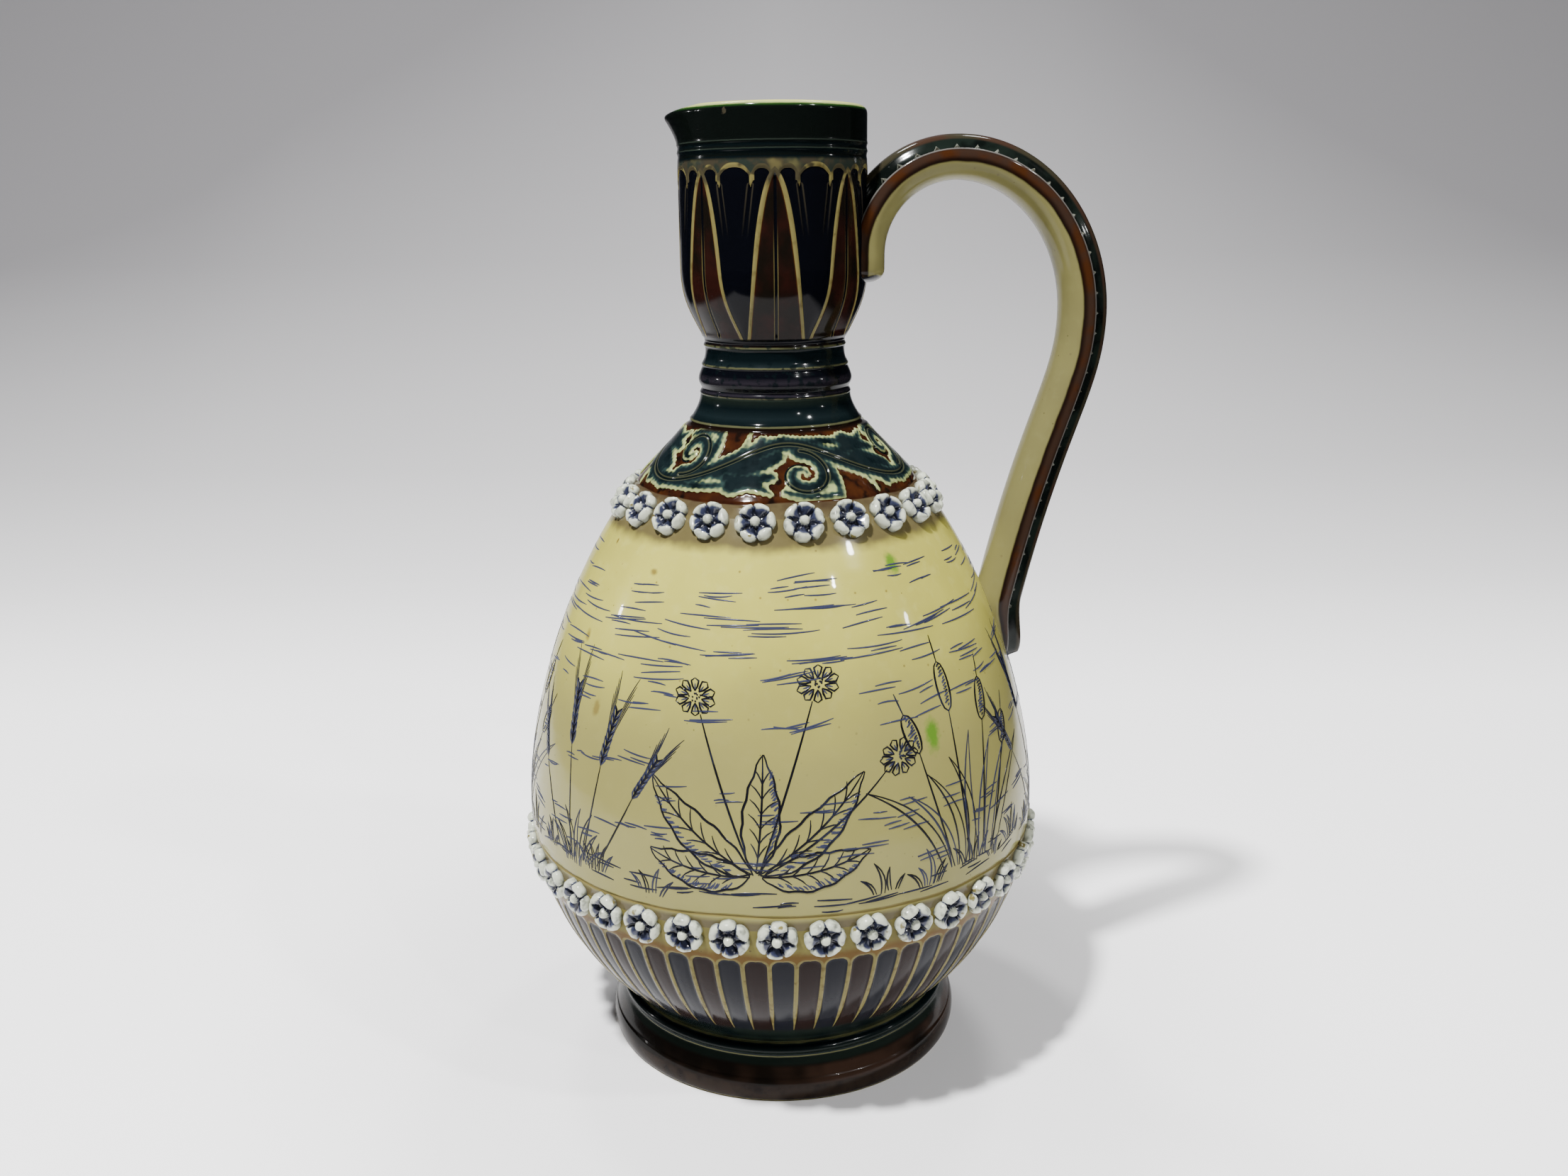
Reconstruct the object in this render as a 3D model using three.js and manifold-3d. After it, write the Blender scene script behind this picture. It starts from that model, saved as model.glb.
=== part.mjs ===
// Sgraffito jug in salt-glazed stoneware: a turned foot, a round belly that runs up into a slim neck, a tall
// straight collar with a small pulled lip, a strap handle, and two rows of applied rosettes.
// Millimetres, +Z up. The jug stands on the XY plane, centred on its own footprint. The lip points to -X and
// the handle to +X. The clay sections meet on level turned joints, and the applied pieces keep a slip's
// thickness to the wall that they stand on.

import * as THREE from "three";
import { mergeVertices } from "three/addons/utils/BufferGeometryUtils.js";
import Module from "manifold-3d";

// Turning
const aroundSteps = 48;
const curveSteps = 6;
const slipGap = 0.3;

// Foot: a flange that the jug rests on, a bead, and the floor of the belly
const footHeight = 14.4;
const footBaseRadius = 46.5;
const flangeRadius = 47.4;
const flangeHeight = 3;
const flangeTopRadius = 46.4;
const flangeTopHeight = 6.4;
const beadGrooveRadius = 44;
const beadGrooveHeight = 11.1;
const beadRadius = 44.9;
const beadHeight = 12.9;
const waistRadius = 42.75;
const seatWidth = 6.4;
const recessRadius = 37.5;
const recessDepth = 3;
const recessBevel = 1.5;
const floorThickness = 9;
const floorRadius = 30;

// Body: belly and shoulder, thrown in one section
const bodyHeight = 158;
const bellyRadius = 66.5;
const bellyRise = 51.6;
const bodyWall = 4.5;
const breakRadius = 31.6;
const breakDrop = 17.4;
const neckRootRadius = 18.85;
const waistSlope = 50;
const waistPull = 8;
const bellyPullDown = 29;
const bellyPullUp = 28.2;
const breakSlope = 135;
const breakPullDown = 27.4;
const breakPullUp = 8.6;
const rootPull = 4.7;

// Neck: a thin ridge, a round bead and a cove
const neckHeight = 13;
const ridgeRadius = 19.1;
const ridgeRise = 1.1;
const ringGrooveRadius = 18.3;
const ringGrooveRise = 1.9;
const ringRadius = 19.25;
const ringRise = 4.3;
const ringTopRadius = 18.2;
const ringTopRise = 7.2;
const coveRadius = 17.35;
const coveRise = 10;
const neckTopRadius = 17.5;

// Collar: a flare, a straight wall, two turned lines, the rounded rim and the pulled lip
const collarHeight = 54.6;
const collarRadius = 22.9;
const collarWall = 3.6;
const flareHeight = 17.6;
const flareSlope = 64.6;
const flarePullDown = 7.5;
const flarePullUp = 8;
const rimLineDrop = 10.3;
const rimLinePitch = 1.8;
const rimLineDepth = 0.4;
const rimLineHalf = 0.5;
const rimSteps = 3;
const lipReach = 3.6;
const lipHeight = 9;
const lipSpread = 40;
const lipGrowth = 1.5;
const lipSteps = 3;

// Handle: a strap pressed to the collar, carried over a loop and down to a tongue on the belly
const strapThickness = 12;
const crownThickness = 10.9;
const strapHalfWidth = 8;
const rootHalfWidth = 9.3;
const strapSink = 1.7;
const rootDrop = 41.2;
const rootBend = 23.2;
const crownDrop = 11.7;
const loopReach = 76.6;
const loopDrop = 37.3;
const seatRise = 105.1;
const seatStand = 3.5;
const seatLean = 12.75;
const limbPullDown = 18;
const limbPullUp = 47.6;
const tongueLength = 16.5;
const tongueTipStand = 1.2;
const tongueSwell = 3.2;
const tongueTipShare = 0.12;
const bendSteps = 6;
const loopSteps = 8;
const limbSteps = 9;
const tongueSteps = 6;
const endSteps = 3;

// Applied rosettes
const petals = 6;
const petalSteps = 3;
const rosetteRadius = 4.8;
const rosetteEdge = 1.2;
const rosetteHeight = 2.3;
const budRadius = 1.7;
const petalValley = 3.6;
const lowerRosettes = 38;
const lowerRosetteRise = 41.6;
const lowerRosetteTurn = -1.1;
const upperRosettes = 22;
const upperRosetteDrop = 25.8;
const upperRosetteTurn = -7.3;
const bridgeLap = 1;
const bridgeWidth = 1.6;
const bridgeThickness = 0.9;

// Heights and radii that follow from these sizes
const neckBase = footHeight + bodyHeight;
const collarBase = neckBase + neckHeight;
const rimHeight = collarBase + collarHeight;
const bellyHeight = footHeight + bellyRise;
const breakHeight = neckBase - breakDrop;
const flareTop = collarBase + flareHeight;
const floorHeight = recessDepth + floorThickness;
const seatInnerRadius = waistRadius - seatWidth;
const throatRadius = neckRootRadius - bodyWall;

const wasm = await Module();
wasm.setup();

const glaze = (color, roughness) => new THREE.MeshStandardMaterial({ color, roughness, metalness: 0 });
const materials = {
  foot: glaze("#3a1c10", 0.2),
  body: glaze("#cfc39c", 0.25),
  neck: glaze("#16262a", 0.18),
  collar: glaze("#33241a", 0.18),
  handle: glaze("#b9a878", 0.25),
  rosette: glaze("#ded7c0", 0.3),
};

const at = (radius, height) => new THREE.Vector2(radius, height);

function slope(degrees) {
  const angle = THREE.MathUtils.degToRad(degrees);
  return at(Math.cos(angle), Math.sin(angle));
}

// A turned stretch of outline. It leaves one point and reaches the next at given slopes, in degrees from
// level, and each pull says how far it holds to its slope.
function turnedCurve(start, startSlope, startPull, end, endSlope, endPull) {
  const leave = start.clone().addScaledVector(slope(startSlope), startPull);
  const arrive = end.clone().addScaledVector(slope(endSlope), -endPull);
  return new THREE.CubicBezierCurve(start, leave, arrive, end);
}

// An outline moved towards the axis by a wall's thickness, or away from it by a negative one.
function inset(points, wall) {
  return points.map((point, i) => {
    const before = points[Math.max(i - 1, 0)];
    const after = points[Math.min(i + 1, points.length - 1)];
    const along = after.clone().sub(before).normalize();
    return at(point.x - along.y * wall, point.y + along.x * wall);
  });
}

// Turns an outline round the jug's axis. It runs up the outside and down the inside, and either starts and
// ends on the axis or is closed here on its first point.
function turned(outline) {
  const closed = outline[0].x > 0 ? [...outline, outline[0].clone()] : outline;
  return new THREE.LatheGeometry(closed, aroundSteps).rotateX(Math.PI / 2);
}

function solidFrom(geometry) {
  const bare = geometry.clone();
  bare.deleteAttribute("normal");
  bare.deleteAttribute("uv");
  const merged = mergeVertices(bare);
  return new wasm.Manifold(
    new wasm.Mesh({
      numProp: 3,
      vertProperties: merged.attributes.position.array,
      triVerts: new Uint32Array(merged.index.array),
    }),
  );
}

function geometryFrom(solid) {
  const mesh = solid.getMesh();
  const geometry = new THREE.BufferGeometry();
  geometry.setAttribute("position", new THREE.BufferAttribute(new Float32Array(mesh.vertProperties), 3));
  geometry.setIndex(new THREE.BufferAttribute(new Uint32Array(mesh.triVerts), 1));
  geometry.computeVertexNormals();
  return geometry;
}

// Outside outlines, from bottom to top

const footOutline = [
  at(footBaseRadius, 0),
  at(flangeRadius, flangeHeight),
  at(flangeTopRadius, flangeTopHeight),
  at(beadGrooveRadius, beadGrooveHeight),
  at(beadRadius, beadHeight),
  at(waistRadius, footHeight),
];

const waist = at(waistRadius, footHeight);
const bellyEdge = at(bellyRadius, bellyHeight);
const shoulderBreak = at(breakRadius, breakHeight);
const neckRoot = at(neckRootRadius, neckBase);
const lowerBody = turnedCurve(waist, waistSlope, waistPull, bellyEdge, 90, bellyPullDown);
const upperBody = turnedCurve(bellyEdge, 90, bellyPullUp, shoulderBreak, breakSlope, breakPullDown);
const shoulder = turnedCurve(shoulderBreak, breakSlope, breakPullUp, neckRoot, 90, rootPull);
const bodyOutline = [
  ...lowerBody.getPoints(curveSteps),
  ...upperBody.getPoints(curveSteps + 1).slice(1),
  ...shoulder.getPoints(curveSteps - 1).slice(1),
];

const neckOutline = [
  neckRoot,
  at(ridgeRadius, neckBase + ridgeRise),
  at(ringGrooveRadius, neckBase + ringGrooveRise),
  at(ringRadius, neckBase + ringRise),
  at(ringTopRadius, neckBase + ringTopRise),
  at(coveRadius, neckBase + coveRise),
  at(neckTopRadius, collarBase),
];

const neckTop = at(neckTopRadius, collarBase);
const flareEdge = at(collarRadius, flareTop);
const flare = turnedCurve(neckTop, flareSlope, flarePullDown, flareEdge, 90, flarePullUp);

function turnedLine(height) {
  return [
    at(collarRadius, height - rimLineHalf),
    at(collarRadius - rimLineDepth, height),
    at(collarRadius, height + rimLineHalf),
  ];
}

const rimRound = collarWall / 2;
const wallTop = rimHeight - rimRound;
const lipBase = rimHeight - lipHeight;
const lineHeight = rimHeight - rimLineDrop;
const collarOutline = [
  ...flare.getPoints(curveSteps - 1),
  ...turnedLine(lineHeight),
  ...turnedLine(lineHeight + rimLinePitch),
  at(collarRadius, wallTop),
];

// The radius of the outside wall at a height, and the tilt of its surface from upright, in degrees.
function wallAt(outline, height) {
  const top = outline.findIndex((point) => point.y > height);
  const above = outline[top];
  const below = outline[top - 1];
  const share = (height - below.y) / (above.y - below.y);
  const rise = above.clone().sub(below);
  return {
    radius: THREE.MathUtils.lerp(below.x, above.x, share),
    tilt: THREE.MathUtils.radToDeg(Math.atan2(-rise.x, rise.y)),
  };
}

// Turned sections

function makeFoot() {
  return turned([
    at(0, recessDepth),
    at(recessRadius, recessDepth),
    at(recessRadius + recessBevel, 0),
    ...footOutline,
    at(seatInnerRadius, footHeight),
    at(floorRadius, floorHeight),
    at(0, floorHeight),
  ]);
}

function makeBody() {
  const inside = inset(bodyOutline, bodyWall)
    .filter((point, i) => i % 2 && point.y > footHeight + bodyWall && point.y < neckBase)
    .reverse();
  return turned([...bodyOutline, at(throatRadius, neckBase), ...inside, at(seatInnerRadius, footHeight)]);
}

function makeNeck() {
  return turned([...neckOutline, at(throatRadius, collarBase), at(throatRadius, neckBase)]);
}

// Lifts the rim out into the lip: the push grows up the wall and fades to both sides of the lip's middle.
function pullLip(geometry) {
  const points = geometry.attributes.position;
  const spread = THREE.MathUtils.degToRad(lipSpread);
  for (let i = 0; i < points.count; i++) {
    const radius = Math.hypot(points.getX(i), points.getY(i));
    const aside = Math.atan2(points.getY(i), -points.getX(i)) / spread;
    const up = (points.getZ(i) - lipBase) / lipHeight;
    if (up <= 0 || Math.abs(aside) >= 1) continue;
    const push = 1 + (lipReach * up ** lipGrowth * (1 - aside ** 2) ** 2) / radius;
    points.setX(i, points.getX(i) * push);
    points.setY(i, points.getY(i) * push);
  }
  return geometry;
}

function makeCollar() {
  const rim = Array.from({ length: rimSteps }, (_, i) => {
    const turn = slope((180 * (i + 1)) / (rimSteps + 1));
    return at(collarRadius - rimRound + turn.x * rimRound, wallTop + turn.y * rimRound);
  });
  const bore = collarRadius - collarWall;
  const lipWall = Array.from({ length: lipSteps }, (_, i) =>
    at(bore, THREE.MathUtils.lerp(wallTop, lipBase, i / (lipSteps - 1))),
  );
  const flareInside = inset(flare.getPoints(curveSteps - 1), collarWall)
    .filter((point) => point.y > collarBase && point.x > throatRadius)
    .reverse();
  const bottomEdge = at(throatRadius, collarBase);
  return pullLip(turned([...collarOutline, ...rim, ...lipWall, ...flareInside, bottomEdge]));
}

// Handle

// Half of the strap's section, from the middle of its inner face to the middle of its outer face: shares of
// the half width across, and of the thickness out from the strap's middle. The outer face carries an edge
// ridge, a channel and a broad middle rib.
const strapHalfSection = [
  [0, -0.5],
  [0.5, -0.46],
  [0.86, -0.32],
  [1, -0.08],
  [1, 0.1],
  [0.9, 0.22],
  [0.78, 0.28],
  [0.7, 0.24],
  [0.44, 0.34],
  [0.34, 0.44],
  [0, 0.5],
];
const strapSection = [
  ...strapHalfSection,
  ...strapHalfSection
    .slice(1, -1)
    .reverse()
    .map(([across, out]) => [-across, out]),
];

// One section of the strap: its middle and outward direction lie in the handle's upright plane.
function strapRing(middle, outward, thickness, halfWidth) {
  return strapSection.map(([across, out]) => {
    const point = middle.clone().addScaledVector(outward, out * thickness);
    return new THREE.Vector3(point.x, across * halfWidth, point.y);
  });
}

// Skins a row of equal rings and closes both ends with a fan.
function loft(rings) {
  const around = rings[0].length;
  const corners = rings.flat();
  const faces = [];
  for (let ring = 0; ring + 1 < rings.length; ring++) {
    for (let i = 0; i < around; i++) {
      const a = ring * around + i;
      const b = ring * around + ((i + 1) % around);
      faces.push(a, b, b + around, a, b + around, a + around);
    }
  }
  const last = corners.length - around;
  for (let i = 1; i + 1 < around; i++) {
    faces.push(0, i + 1, i, last, last + i, last + i + 1);
  }
  const geometry = new THREE.BufferGeometry().setFromPoints(corners);
  geometry.setIndex(faces);
  geometry.computeVertexNormals();
  return geometry;
}

const crownHeight = rimHeight - crownDrop;
const rootX = collarRadius - strapSink;
const crownX = rootX + rootBend;
const loopHeight = crownHeight - loopDrop;

// The straight root on the collar, rounded at its lower end.
function rootRings() {
  const outward = at(-1, 0);
  const base = rimHeight - rootDrop;
  const round = strapThickness / 2;
  const rings = [];
  for (let i = 1; i <= endSteps; i++) {
    const turn = slope((90 * i) / endSteps);
    const height = base + round * (1 - turn.x);
    rings.push(strapRing(at(rootX, height), outward, strapThickness * turn.y, rootHalfWidth * turn.y));
  }
  return rings;
}

// The bend from the collar up to the crown, where the strap thins and draws in a little.
function bendRings() {
  return Array.from({ length: bendSteps }, (_, i) => {
    const share = i / bendSteps;
    const outward = slope(180 - 90 * share);
    const middle = at(crownX + outward.x * rootBend, crownHeight + (outward.y - 1) * rootBend);
    const thickness = THREE.MathUtils.lerp(strapThickness, crownThickness, share);
    return strapRing(middle, outward, thickness, THREE.MathUtils.lerp(rootHalfWidth, strapHalfWidth, share));
  });
}

// The quarter of an ellipse from the crown out to the loop's full reach.
function loopRings() {
  return Array.from({ length: loopSteps }, (_, i) => {
    const share = i / loopSteps;
    const turn = slope(90 - 90 * share);
    const reach = loopReach - crownX;
    const middle = at(crownX + reach * turn.x, loopHeight + loopDrop * turn.y);
    const outward = at(turn.x * loopDrop, turn.y * reach).normalize();
    const thickness = THREE.MathUtils.lerp(crownThickness, strapThickness, share);
    return strapRing(middle, outward, thickness, strapHalfWidth);
  });
}

const seatHeight = footHeight + seatRise;
const seatMiddle = at(wallAt(bodyOutline, seatHeight).radius + seatStand, seatHeight);
const limb = turnedCurve(
  at(loopReach, loopHeight), -90, limbPullDown,
  seatMiddle, -90 - seatLean, limbPullUp,
);
const outwardOf = (tangent) => at(-tangent.y, tangent.x);

function limbRings() {
  return Array.from({ length: limbSteps }, (_, i) => {
    const share = i / limbSteps;
    return strapRing(limb.getPoint(share), outwardOf(limb.getTangent(share)), strapThickness, strapHalfWidth);
  });
}

// The tongue that lies on the belly: its outer edge runs down in a shallow curve to the tip, its direction
// turns from the limb's to the wall's, and its sides draw in to a rounded point.
function tongueRings() {
  const outwardStart = outwardOf(limb.getTangent(1));
  const start = seatMiddle.clone().addScaledVector(outwardStart, strapThickness / 2);
  const tipHeight = seatHeight - tongueLength;
  const tipWall = wallAt(bodyOutline, tipHeight);
  const outwardEnd = slope(tipWall.tilt);
  const tip = at(tipWall.radius + tongueTipStand, tipHeight);
  const swell = at((start.x + tip.x) / 2 + tongueSwell, (start.y + tip.y) / 2);
  const edge = new THREE.QuadraticBezierCurve(start, swell, tip);
  return Array.from({ length: tongueSteps + 1 }, (_, i) => {
    const share = i / tongueSteps;
    const outward = outwardStart.clone().lerp(outwardEnd, share).normalize();
    const middle = edge.getPoint(share).addScaledVector(outward, -strapThickness / 2);
    const drawn = Math.max(slope(90 * share).x, tongueTipShare);
    return strapRing(middle, outward, strapThickness, strapHalfWidth * drawn);
  });
}

// The space that the walls take, with a slip's thickness round them, which the handle is fitted to.
function wallSpace() {
  const outside = [...bodyOutline, ...neckOutline.slice(1), ...collarOutline.slice(1)];
  const outline = inset(outside, -slipGap);
  const bottom = outline[0].y;
  return turned([at(0, bottom), ...outline, at(0, outline[outline.length - 1].y)]);
}

function makeHandle() {
  const rings = [...rootRings(), ...bendRings(), ...loopRings(), ...limbRings(), ...tongueRings()];
  return geometryFrom(solidFrom(loft(rings)).subtract(solidFrom(wallSpace())));
}

// Rosettes

// A rosette lies on its own XY plane and faces +Z: petals round a raised bud.
function rosetteGeometry() {
  const ring = (crownRadius, valleyRadius, height) =>
    Array.from({ length: petals * petalSteps }, (_, i) => {
      const turn = slope((360 * (i / petalSteps - 0.5)) / petals);
      const radius = i % petalSteps ? crownRadius : valleyRadius;
      return new THREE.Vector3(turn.x * radius, turn.y * radius, height);
    });
  return loft([
    ring(rosetteRadius, petalValley, 0),
    ring(rosetteRadius, petalValley, rosetteEdge),
    ring(budRadius, budRadius, rosetteHeight),
  ]);
}

// The frame of a place on the wall: X runs round the jug, Z leaves the wall.
function placeOnWall(height, turn) {
  const wall = wallAt(bodyOutline, height);
  const angle = THREE.MathUtils.degToRad(turn);
  const face = slope(wall.tilt);
  const outward = new THREE.Vector3(face.x * Math.sin(angle), -face.x * Math.cos(angle), face.y);
  const along = new THREE.Vector3(Math.cos(angle), Math.sin(angle), 0);
  const up = outward.clone().cross(along);
  const point = new THREE.Vector3(wall.radius * Math.sin(angle), -wall.radius * Math.cos(angle), height);
  const frame = new THREE.Matrix4().makeBasis(along, up, outward);
  return frame.setPosition(point.addScaledVector(outward, slipGap));
}

const number = (i) => String(i + 1).padStart(2, "0");

// The lower row: each rosette is a piece of its own.
function makeLowerRosettes() {
  const geometry = rosetteGeometry();
  return Array.from({ length: lowerRosettes }, (_, i) => {
    const turn = lowerRosetteTurn + (360 * i) / lowerRosettes;
    const mesh = new THREE.Mesh(geometry, materials.rosette);
    mesh.name = `rosette_lower_${number(i)}`;
    mesh.applyMatrix4(placeOnWall(footHeight + lowerRosetteRise, turn));
    return mesh;
  });
}

// The upper row: rosettes in pairs, each pair held by a small bridge of slip.
function makeUpperRosettes() {
  const height = neckBase - upperRosetteDrop;
  const step = 360 / upperRosettes;
  const chord = 2 * wallAt(bodyOutline, height).radius * Math.sin(THREE.MathUtils.degToRad(step / 2));
  const bridgeLength = chord - 2 * rosetteRadius + 2 * bridgeLap;
  const bridge = new THREE.BoxGeometry(bridgeLength, bridgeWidth, bridgeThickness);
  bridge.translate(0, 0, bridgeThickness / 2);
  const placed = (geometry, turn) => solidFrom(geometry.clone().applyMatrix4(placeOnWall(height, turn)));
  return Array.from({ length: upperRosettes / 2 }, (_, i) => {
    const turn = upperRosetteTurn + 2 * i * step;
    const pair = placed(rosetteGeometry(), turn)
      .add(placed(rosetteGeometry(), turn + step))
      .add(placed(bridge, turn + step / 2));
    return named(`rosettes_upper_${number(i)}`, geometryFrom(pair), materials.rosette);
  });
}

function named(name, geometry, material) {
  const mesh = new THREE.Mesh(geometry, material);
  mesh.name = name;
  return mesh;
}

const pieces = new THREE.Group();
pieces.add(
  named("foot", makeFoot(), materials.foot),
  named("body", makeBody(), materials.body),
  named("neck", makeNeck(), materials.neck),
  named("collar", makeCollar(), materials.collar),
  named("handle", makeHandle(), materials.handle),
  ...makeLowerRosettes(),
  ...makeUpperRosettes(),
);

// The jug's axis stands off the middle, because the handle reaches further than the lip.
const footprint = new THREE.Box3().setFromObject(pieces, true);
const middle = footprint.getCenter(new THREE.Vector3());
pieces.position.set(-middle.x, -middle.y, 0);

const jug = new THREE.Group();
jug.add(pieces);

export default jug;
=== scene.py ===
"""Sgraffito jug in salt-glazed stoneware, finished for a studio picture.

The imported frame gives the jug's axis and box. Sizes here are millimetres, and a mesh is turned into metres
when it is made. A turn is an angle round the jug in degrees, 0 at the front (-Y) and 90 at the handle (+X).
Heights are measured from the plane that the jug stands on.
"""

import logging
import math
from dataclasses import dataclass, field
from enum import Enum

import bmesh
import bpy
import numpy as np
from mathutils import Matrix, Vector


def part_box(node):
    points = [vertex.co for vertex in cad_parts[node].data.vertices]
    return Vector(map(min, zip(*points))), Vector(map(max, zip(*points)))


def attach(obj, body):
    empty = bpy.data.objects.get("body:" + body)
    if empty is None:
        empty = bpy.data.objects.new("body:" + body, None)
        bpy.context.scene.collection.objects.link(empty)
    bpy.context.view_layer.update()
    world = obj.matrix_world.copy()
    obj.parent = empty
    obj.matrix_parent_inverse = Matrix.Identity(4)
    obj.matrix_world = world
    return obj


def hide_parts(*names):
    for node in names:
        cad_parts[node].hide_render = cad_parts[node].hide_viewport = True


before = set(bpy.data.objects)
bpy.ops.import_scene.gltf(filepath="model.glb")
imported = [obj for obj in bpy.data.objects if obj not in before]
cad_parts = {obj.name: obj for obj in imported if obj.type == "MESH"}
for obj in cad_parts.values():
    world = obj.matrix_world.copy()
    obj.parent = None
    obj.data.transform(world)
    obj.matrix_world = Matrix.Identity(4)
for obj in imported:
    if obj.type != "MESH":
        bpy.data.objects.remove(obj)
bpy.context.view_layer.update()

MM = 0.001
FULL_TURN = 360.0
FAR_FROM_EDGE = 9.0
PHOTO_WIDTH = 2212
BODY = "root"

log = logging.getLogger("jug")

Array = np.ndarray
Inputs = dict[str | int, object]
Mesh = bpy.types.Mesh
Pair = tuple[float, float] | Array
Piece = bpy.types.Object
Socket = bpy.types.NodeSocket


class Tint(Enum):
    """The colours of the fired clay and glazes in daylight, with a few tints of painted shade and sheen."""

    CREAM = "#b4ae50"
    CREAM_WARM = "#8d8739"
    # Painted shade: a darker cream for the lower belly.
    PAINTED_SHADE_CREAM_LOW = "#7f7a4c"
    # Painted shade: a darker cream for the handle's inner face.
    PAINTED_SHADE_CREAM_HANDLE = "#625e45"
    CREAM_PALE = "#beb967"
    STRIP = "#554c34"
    OCHRE = "#5c4622"
    BROWN = "#29130a"
    BROWN_DARK = "#120a07"
    AMBER = "#3a1f0d"
    DART = "#26100c"
    DART_DARK = "#110d09"
    LINE_CREAM = "#6f673d"
    LINE_WORN = "#564b2a"
    LINE_GREEN = "#59593c"
    LINE_DIM = "#242b25"
    LEAF_EDGE = "#8f9862"
    INDIGO = "#33364b"
    INK_BLACK = "#101016"
    BLUE_BLACK = "#05060b"
    BLUE_GREY = "#16171d"
    PLUM = "#1e1412"
    # Painted sheen: the grey of the light reflected on the neck's bead.
    PAINTED_SHEEN_PLUM_GREY = "#211e24"
    TEAL = "#10191b"
    TEAL_LIGHT = "#2c3e3a"
    TEAL_DEEP = "#060e10"
    GREEN_BLACK = "#131a16"
    OLIVE = "#353126"
    RIM_BLACK = "#080c0a"
    UMBER = "#30221a"
    NECK_LINE = "#454630"
    # Partly painted reflection: the pale line along the handle's ridges.
    LILAC_AND_PAINTED_SHEEN = "#5b5854"
    FLANGE = "#241b14"
    RIB = "#2b281d"
    RIM_GREEN = "#1c3a14"
    GREEN_SPOT = "#4b7a1c"
    RUST = "#5a3c1a"
    WHITE_SLIP = "#bcc1ae"
    SLIP_GREY = "#6c6f66"
    COBALT = "#30344a"
    INK_BLUE = "#12141e"
    INSIDE = "#4e4024"
    PAPER = "#f7f6f7"
    # Painted shade: the paper's colour high on the backdrop and at its sides.
    PAINTED_SHADE_PAPER_FAR = "#5f5d60"

    @property
    def rgba(self) -> tuple[float, float, float, float]:
        """The colour in linear light."""
        parts = [int(self.value[i : i + 2], 16) / 255 for i in (1, 3, 5)]
        return (*(p / 12.92 if p <= 0.04045 else ((p + 0.055) / 1.055) ** 2.4 for p in parts), 1.0)


def smooth(value: Array, low: float, high: float) -> Array:
    """A soft step from 0 at low to 1 at high. Low may be the greater one."""
    share = np.clip((value - low) / (high - low), 0.0, 1.0)
    return share * share * (3.0 - 2.0 * share)


def ripple(turn: Array, size: float, waves: tuple[int, ...], phase: float) -> Array:
    """The slow wobble of a line scribed by hand round the jug.

    Args:
        turn: Angles round the jug, in degrees.
        size: The greatest sway, in millimetres.
        waves: How many waves of each kind go round.
        phase: Shifts the waves, so that two lines differ.

    Returns:
        The sway at each angle.
    """
    angle = np.radians(turn)
    parts = [np.sin(count * angle + phase * (i + 1)) / (i + 1) for i, count in enumerate(waves)]
    return size * sum(parts) / sum(1 / (i + 1) for i in range(len(waves)))


def heading(degrees: float) -> Array:
    """A unit step at this slope from level."""
    angle = math.radians(degrees)
    return np.array([math.cos(angle), math.sin(angle)])


def level_out(turn: float) -> Array:
    """The level direction out from the axis at an angle counted from the front, to the right."""
    return np.array([math.sin(math.radians(turn)), -math.cos(math.radians(turn))])


def leaning(lean: float) -> Array:
    """A unit step upwards that leans to the right by this angle in radians."""
    return np.array([math.sin(lean), math.cos(lean)])


def turned_left(step: Array) -> Array:
    """The unit direction a quarter turn to the left of a step."""
    return np.array([-step[1], step[0]]) / max(np.hypot(*step), 1e-6)


def bezier(corners: list[Array], steps: int) -> Array:
    """Points on a Bezier curve.

    Args:
        corners: Three or four control points.
        steps: How many stretches the curve is divided in.

    Returns:
        One row for each point.
    """
    share = np.linspace(0.0, 1.0, steps + 1)[:, None]
    level = [np.asarray(corner, float)[None, :] + 0.0 * share for corner in corners]
    while len(level) > 1:
        level = [(1 - share) * a + share * b for a, b in zip(level, level[1:])]
    return level[0]


def turned_curve(
    start: Pair, start_slope: float, start_pull: float,
    end: Pair, end_slope: float, end_pull: float, steps: int = 60,
) -> Array:
    """A turned stretch of outline that leaves one point and reaches the next at given slopes.

    Args:
        start: Radius and height where it starts.
        start_slope: Its slope there, in degrees from level.
        start_pull: How far it holds to that slope.
        end: Radius and height where it ends.
        end_slope: Its slope there.
        end_pull: How far it holds to that slope.
        steps: How many stretches it is divided in.

    Returns:
        Rows of radius and height.
    """
    leave = np.array(start) + heading(start_slope) * start_pull
    arrive = np.array(end) - heading(end_slope) * end_pull
    return bezier([np.array(start), leave, arrive, np.array(end)], steps)


def through(points: list[Pair], steps: int) -> Array:
    """A smooth line that passes through each point.

    Args:
        points: The points, in order.
        steps: How many stretches go between two points.

    Returns:
        One row for each point of the line.
    """
    knots = np.array([points[0], *points, points[-1]], float)
    share = np.linspace(0.0, 1.0, steps, endpoint=False)[:, None]
    rows = []
    for before, start, end, after in zip(knots, knots[1:], knots[2:], knots[3:]):
        square = 2 * before - 5 * start + 4 * end - after
        cube = 3 * start - before - 3 * end + after
        rows.append(0.5 * (2 * start + (end - before) * share + square * share**2 + cube * share**3))
    return np.vstack([*rows, knots[-1:]])


def unit(rows: Array) -> Array:
    """Each row's direction, with length one."""
    return rows / np.maximum(np.hypot(*rows.T), 1e-9)[:, None]


def normals_of(section: Array) -> Array:
    """The outward direction at each point of a section that runs up the outside and down the inside."""
    along = unit(np.gradient(section, axis=0))
    return np.stack([along[:, 1], -along[:, 0]], axis=1)


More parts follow.
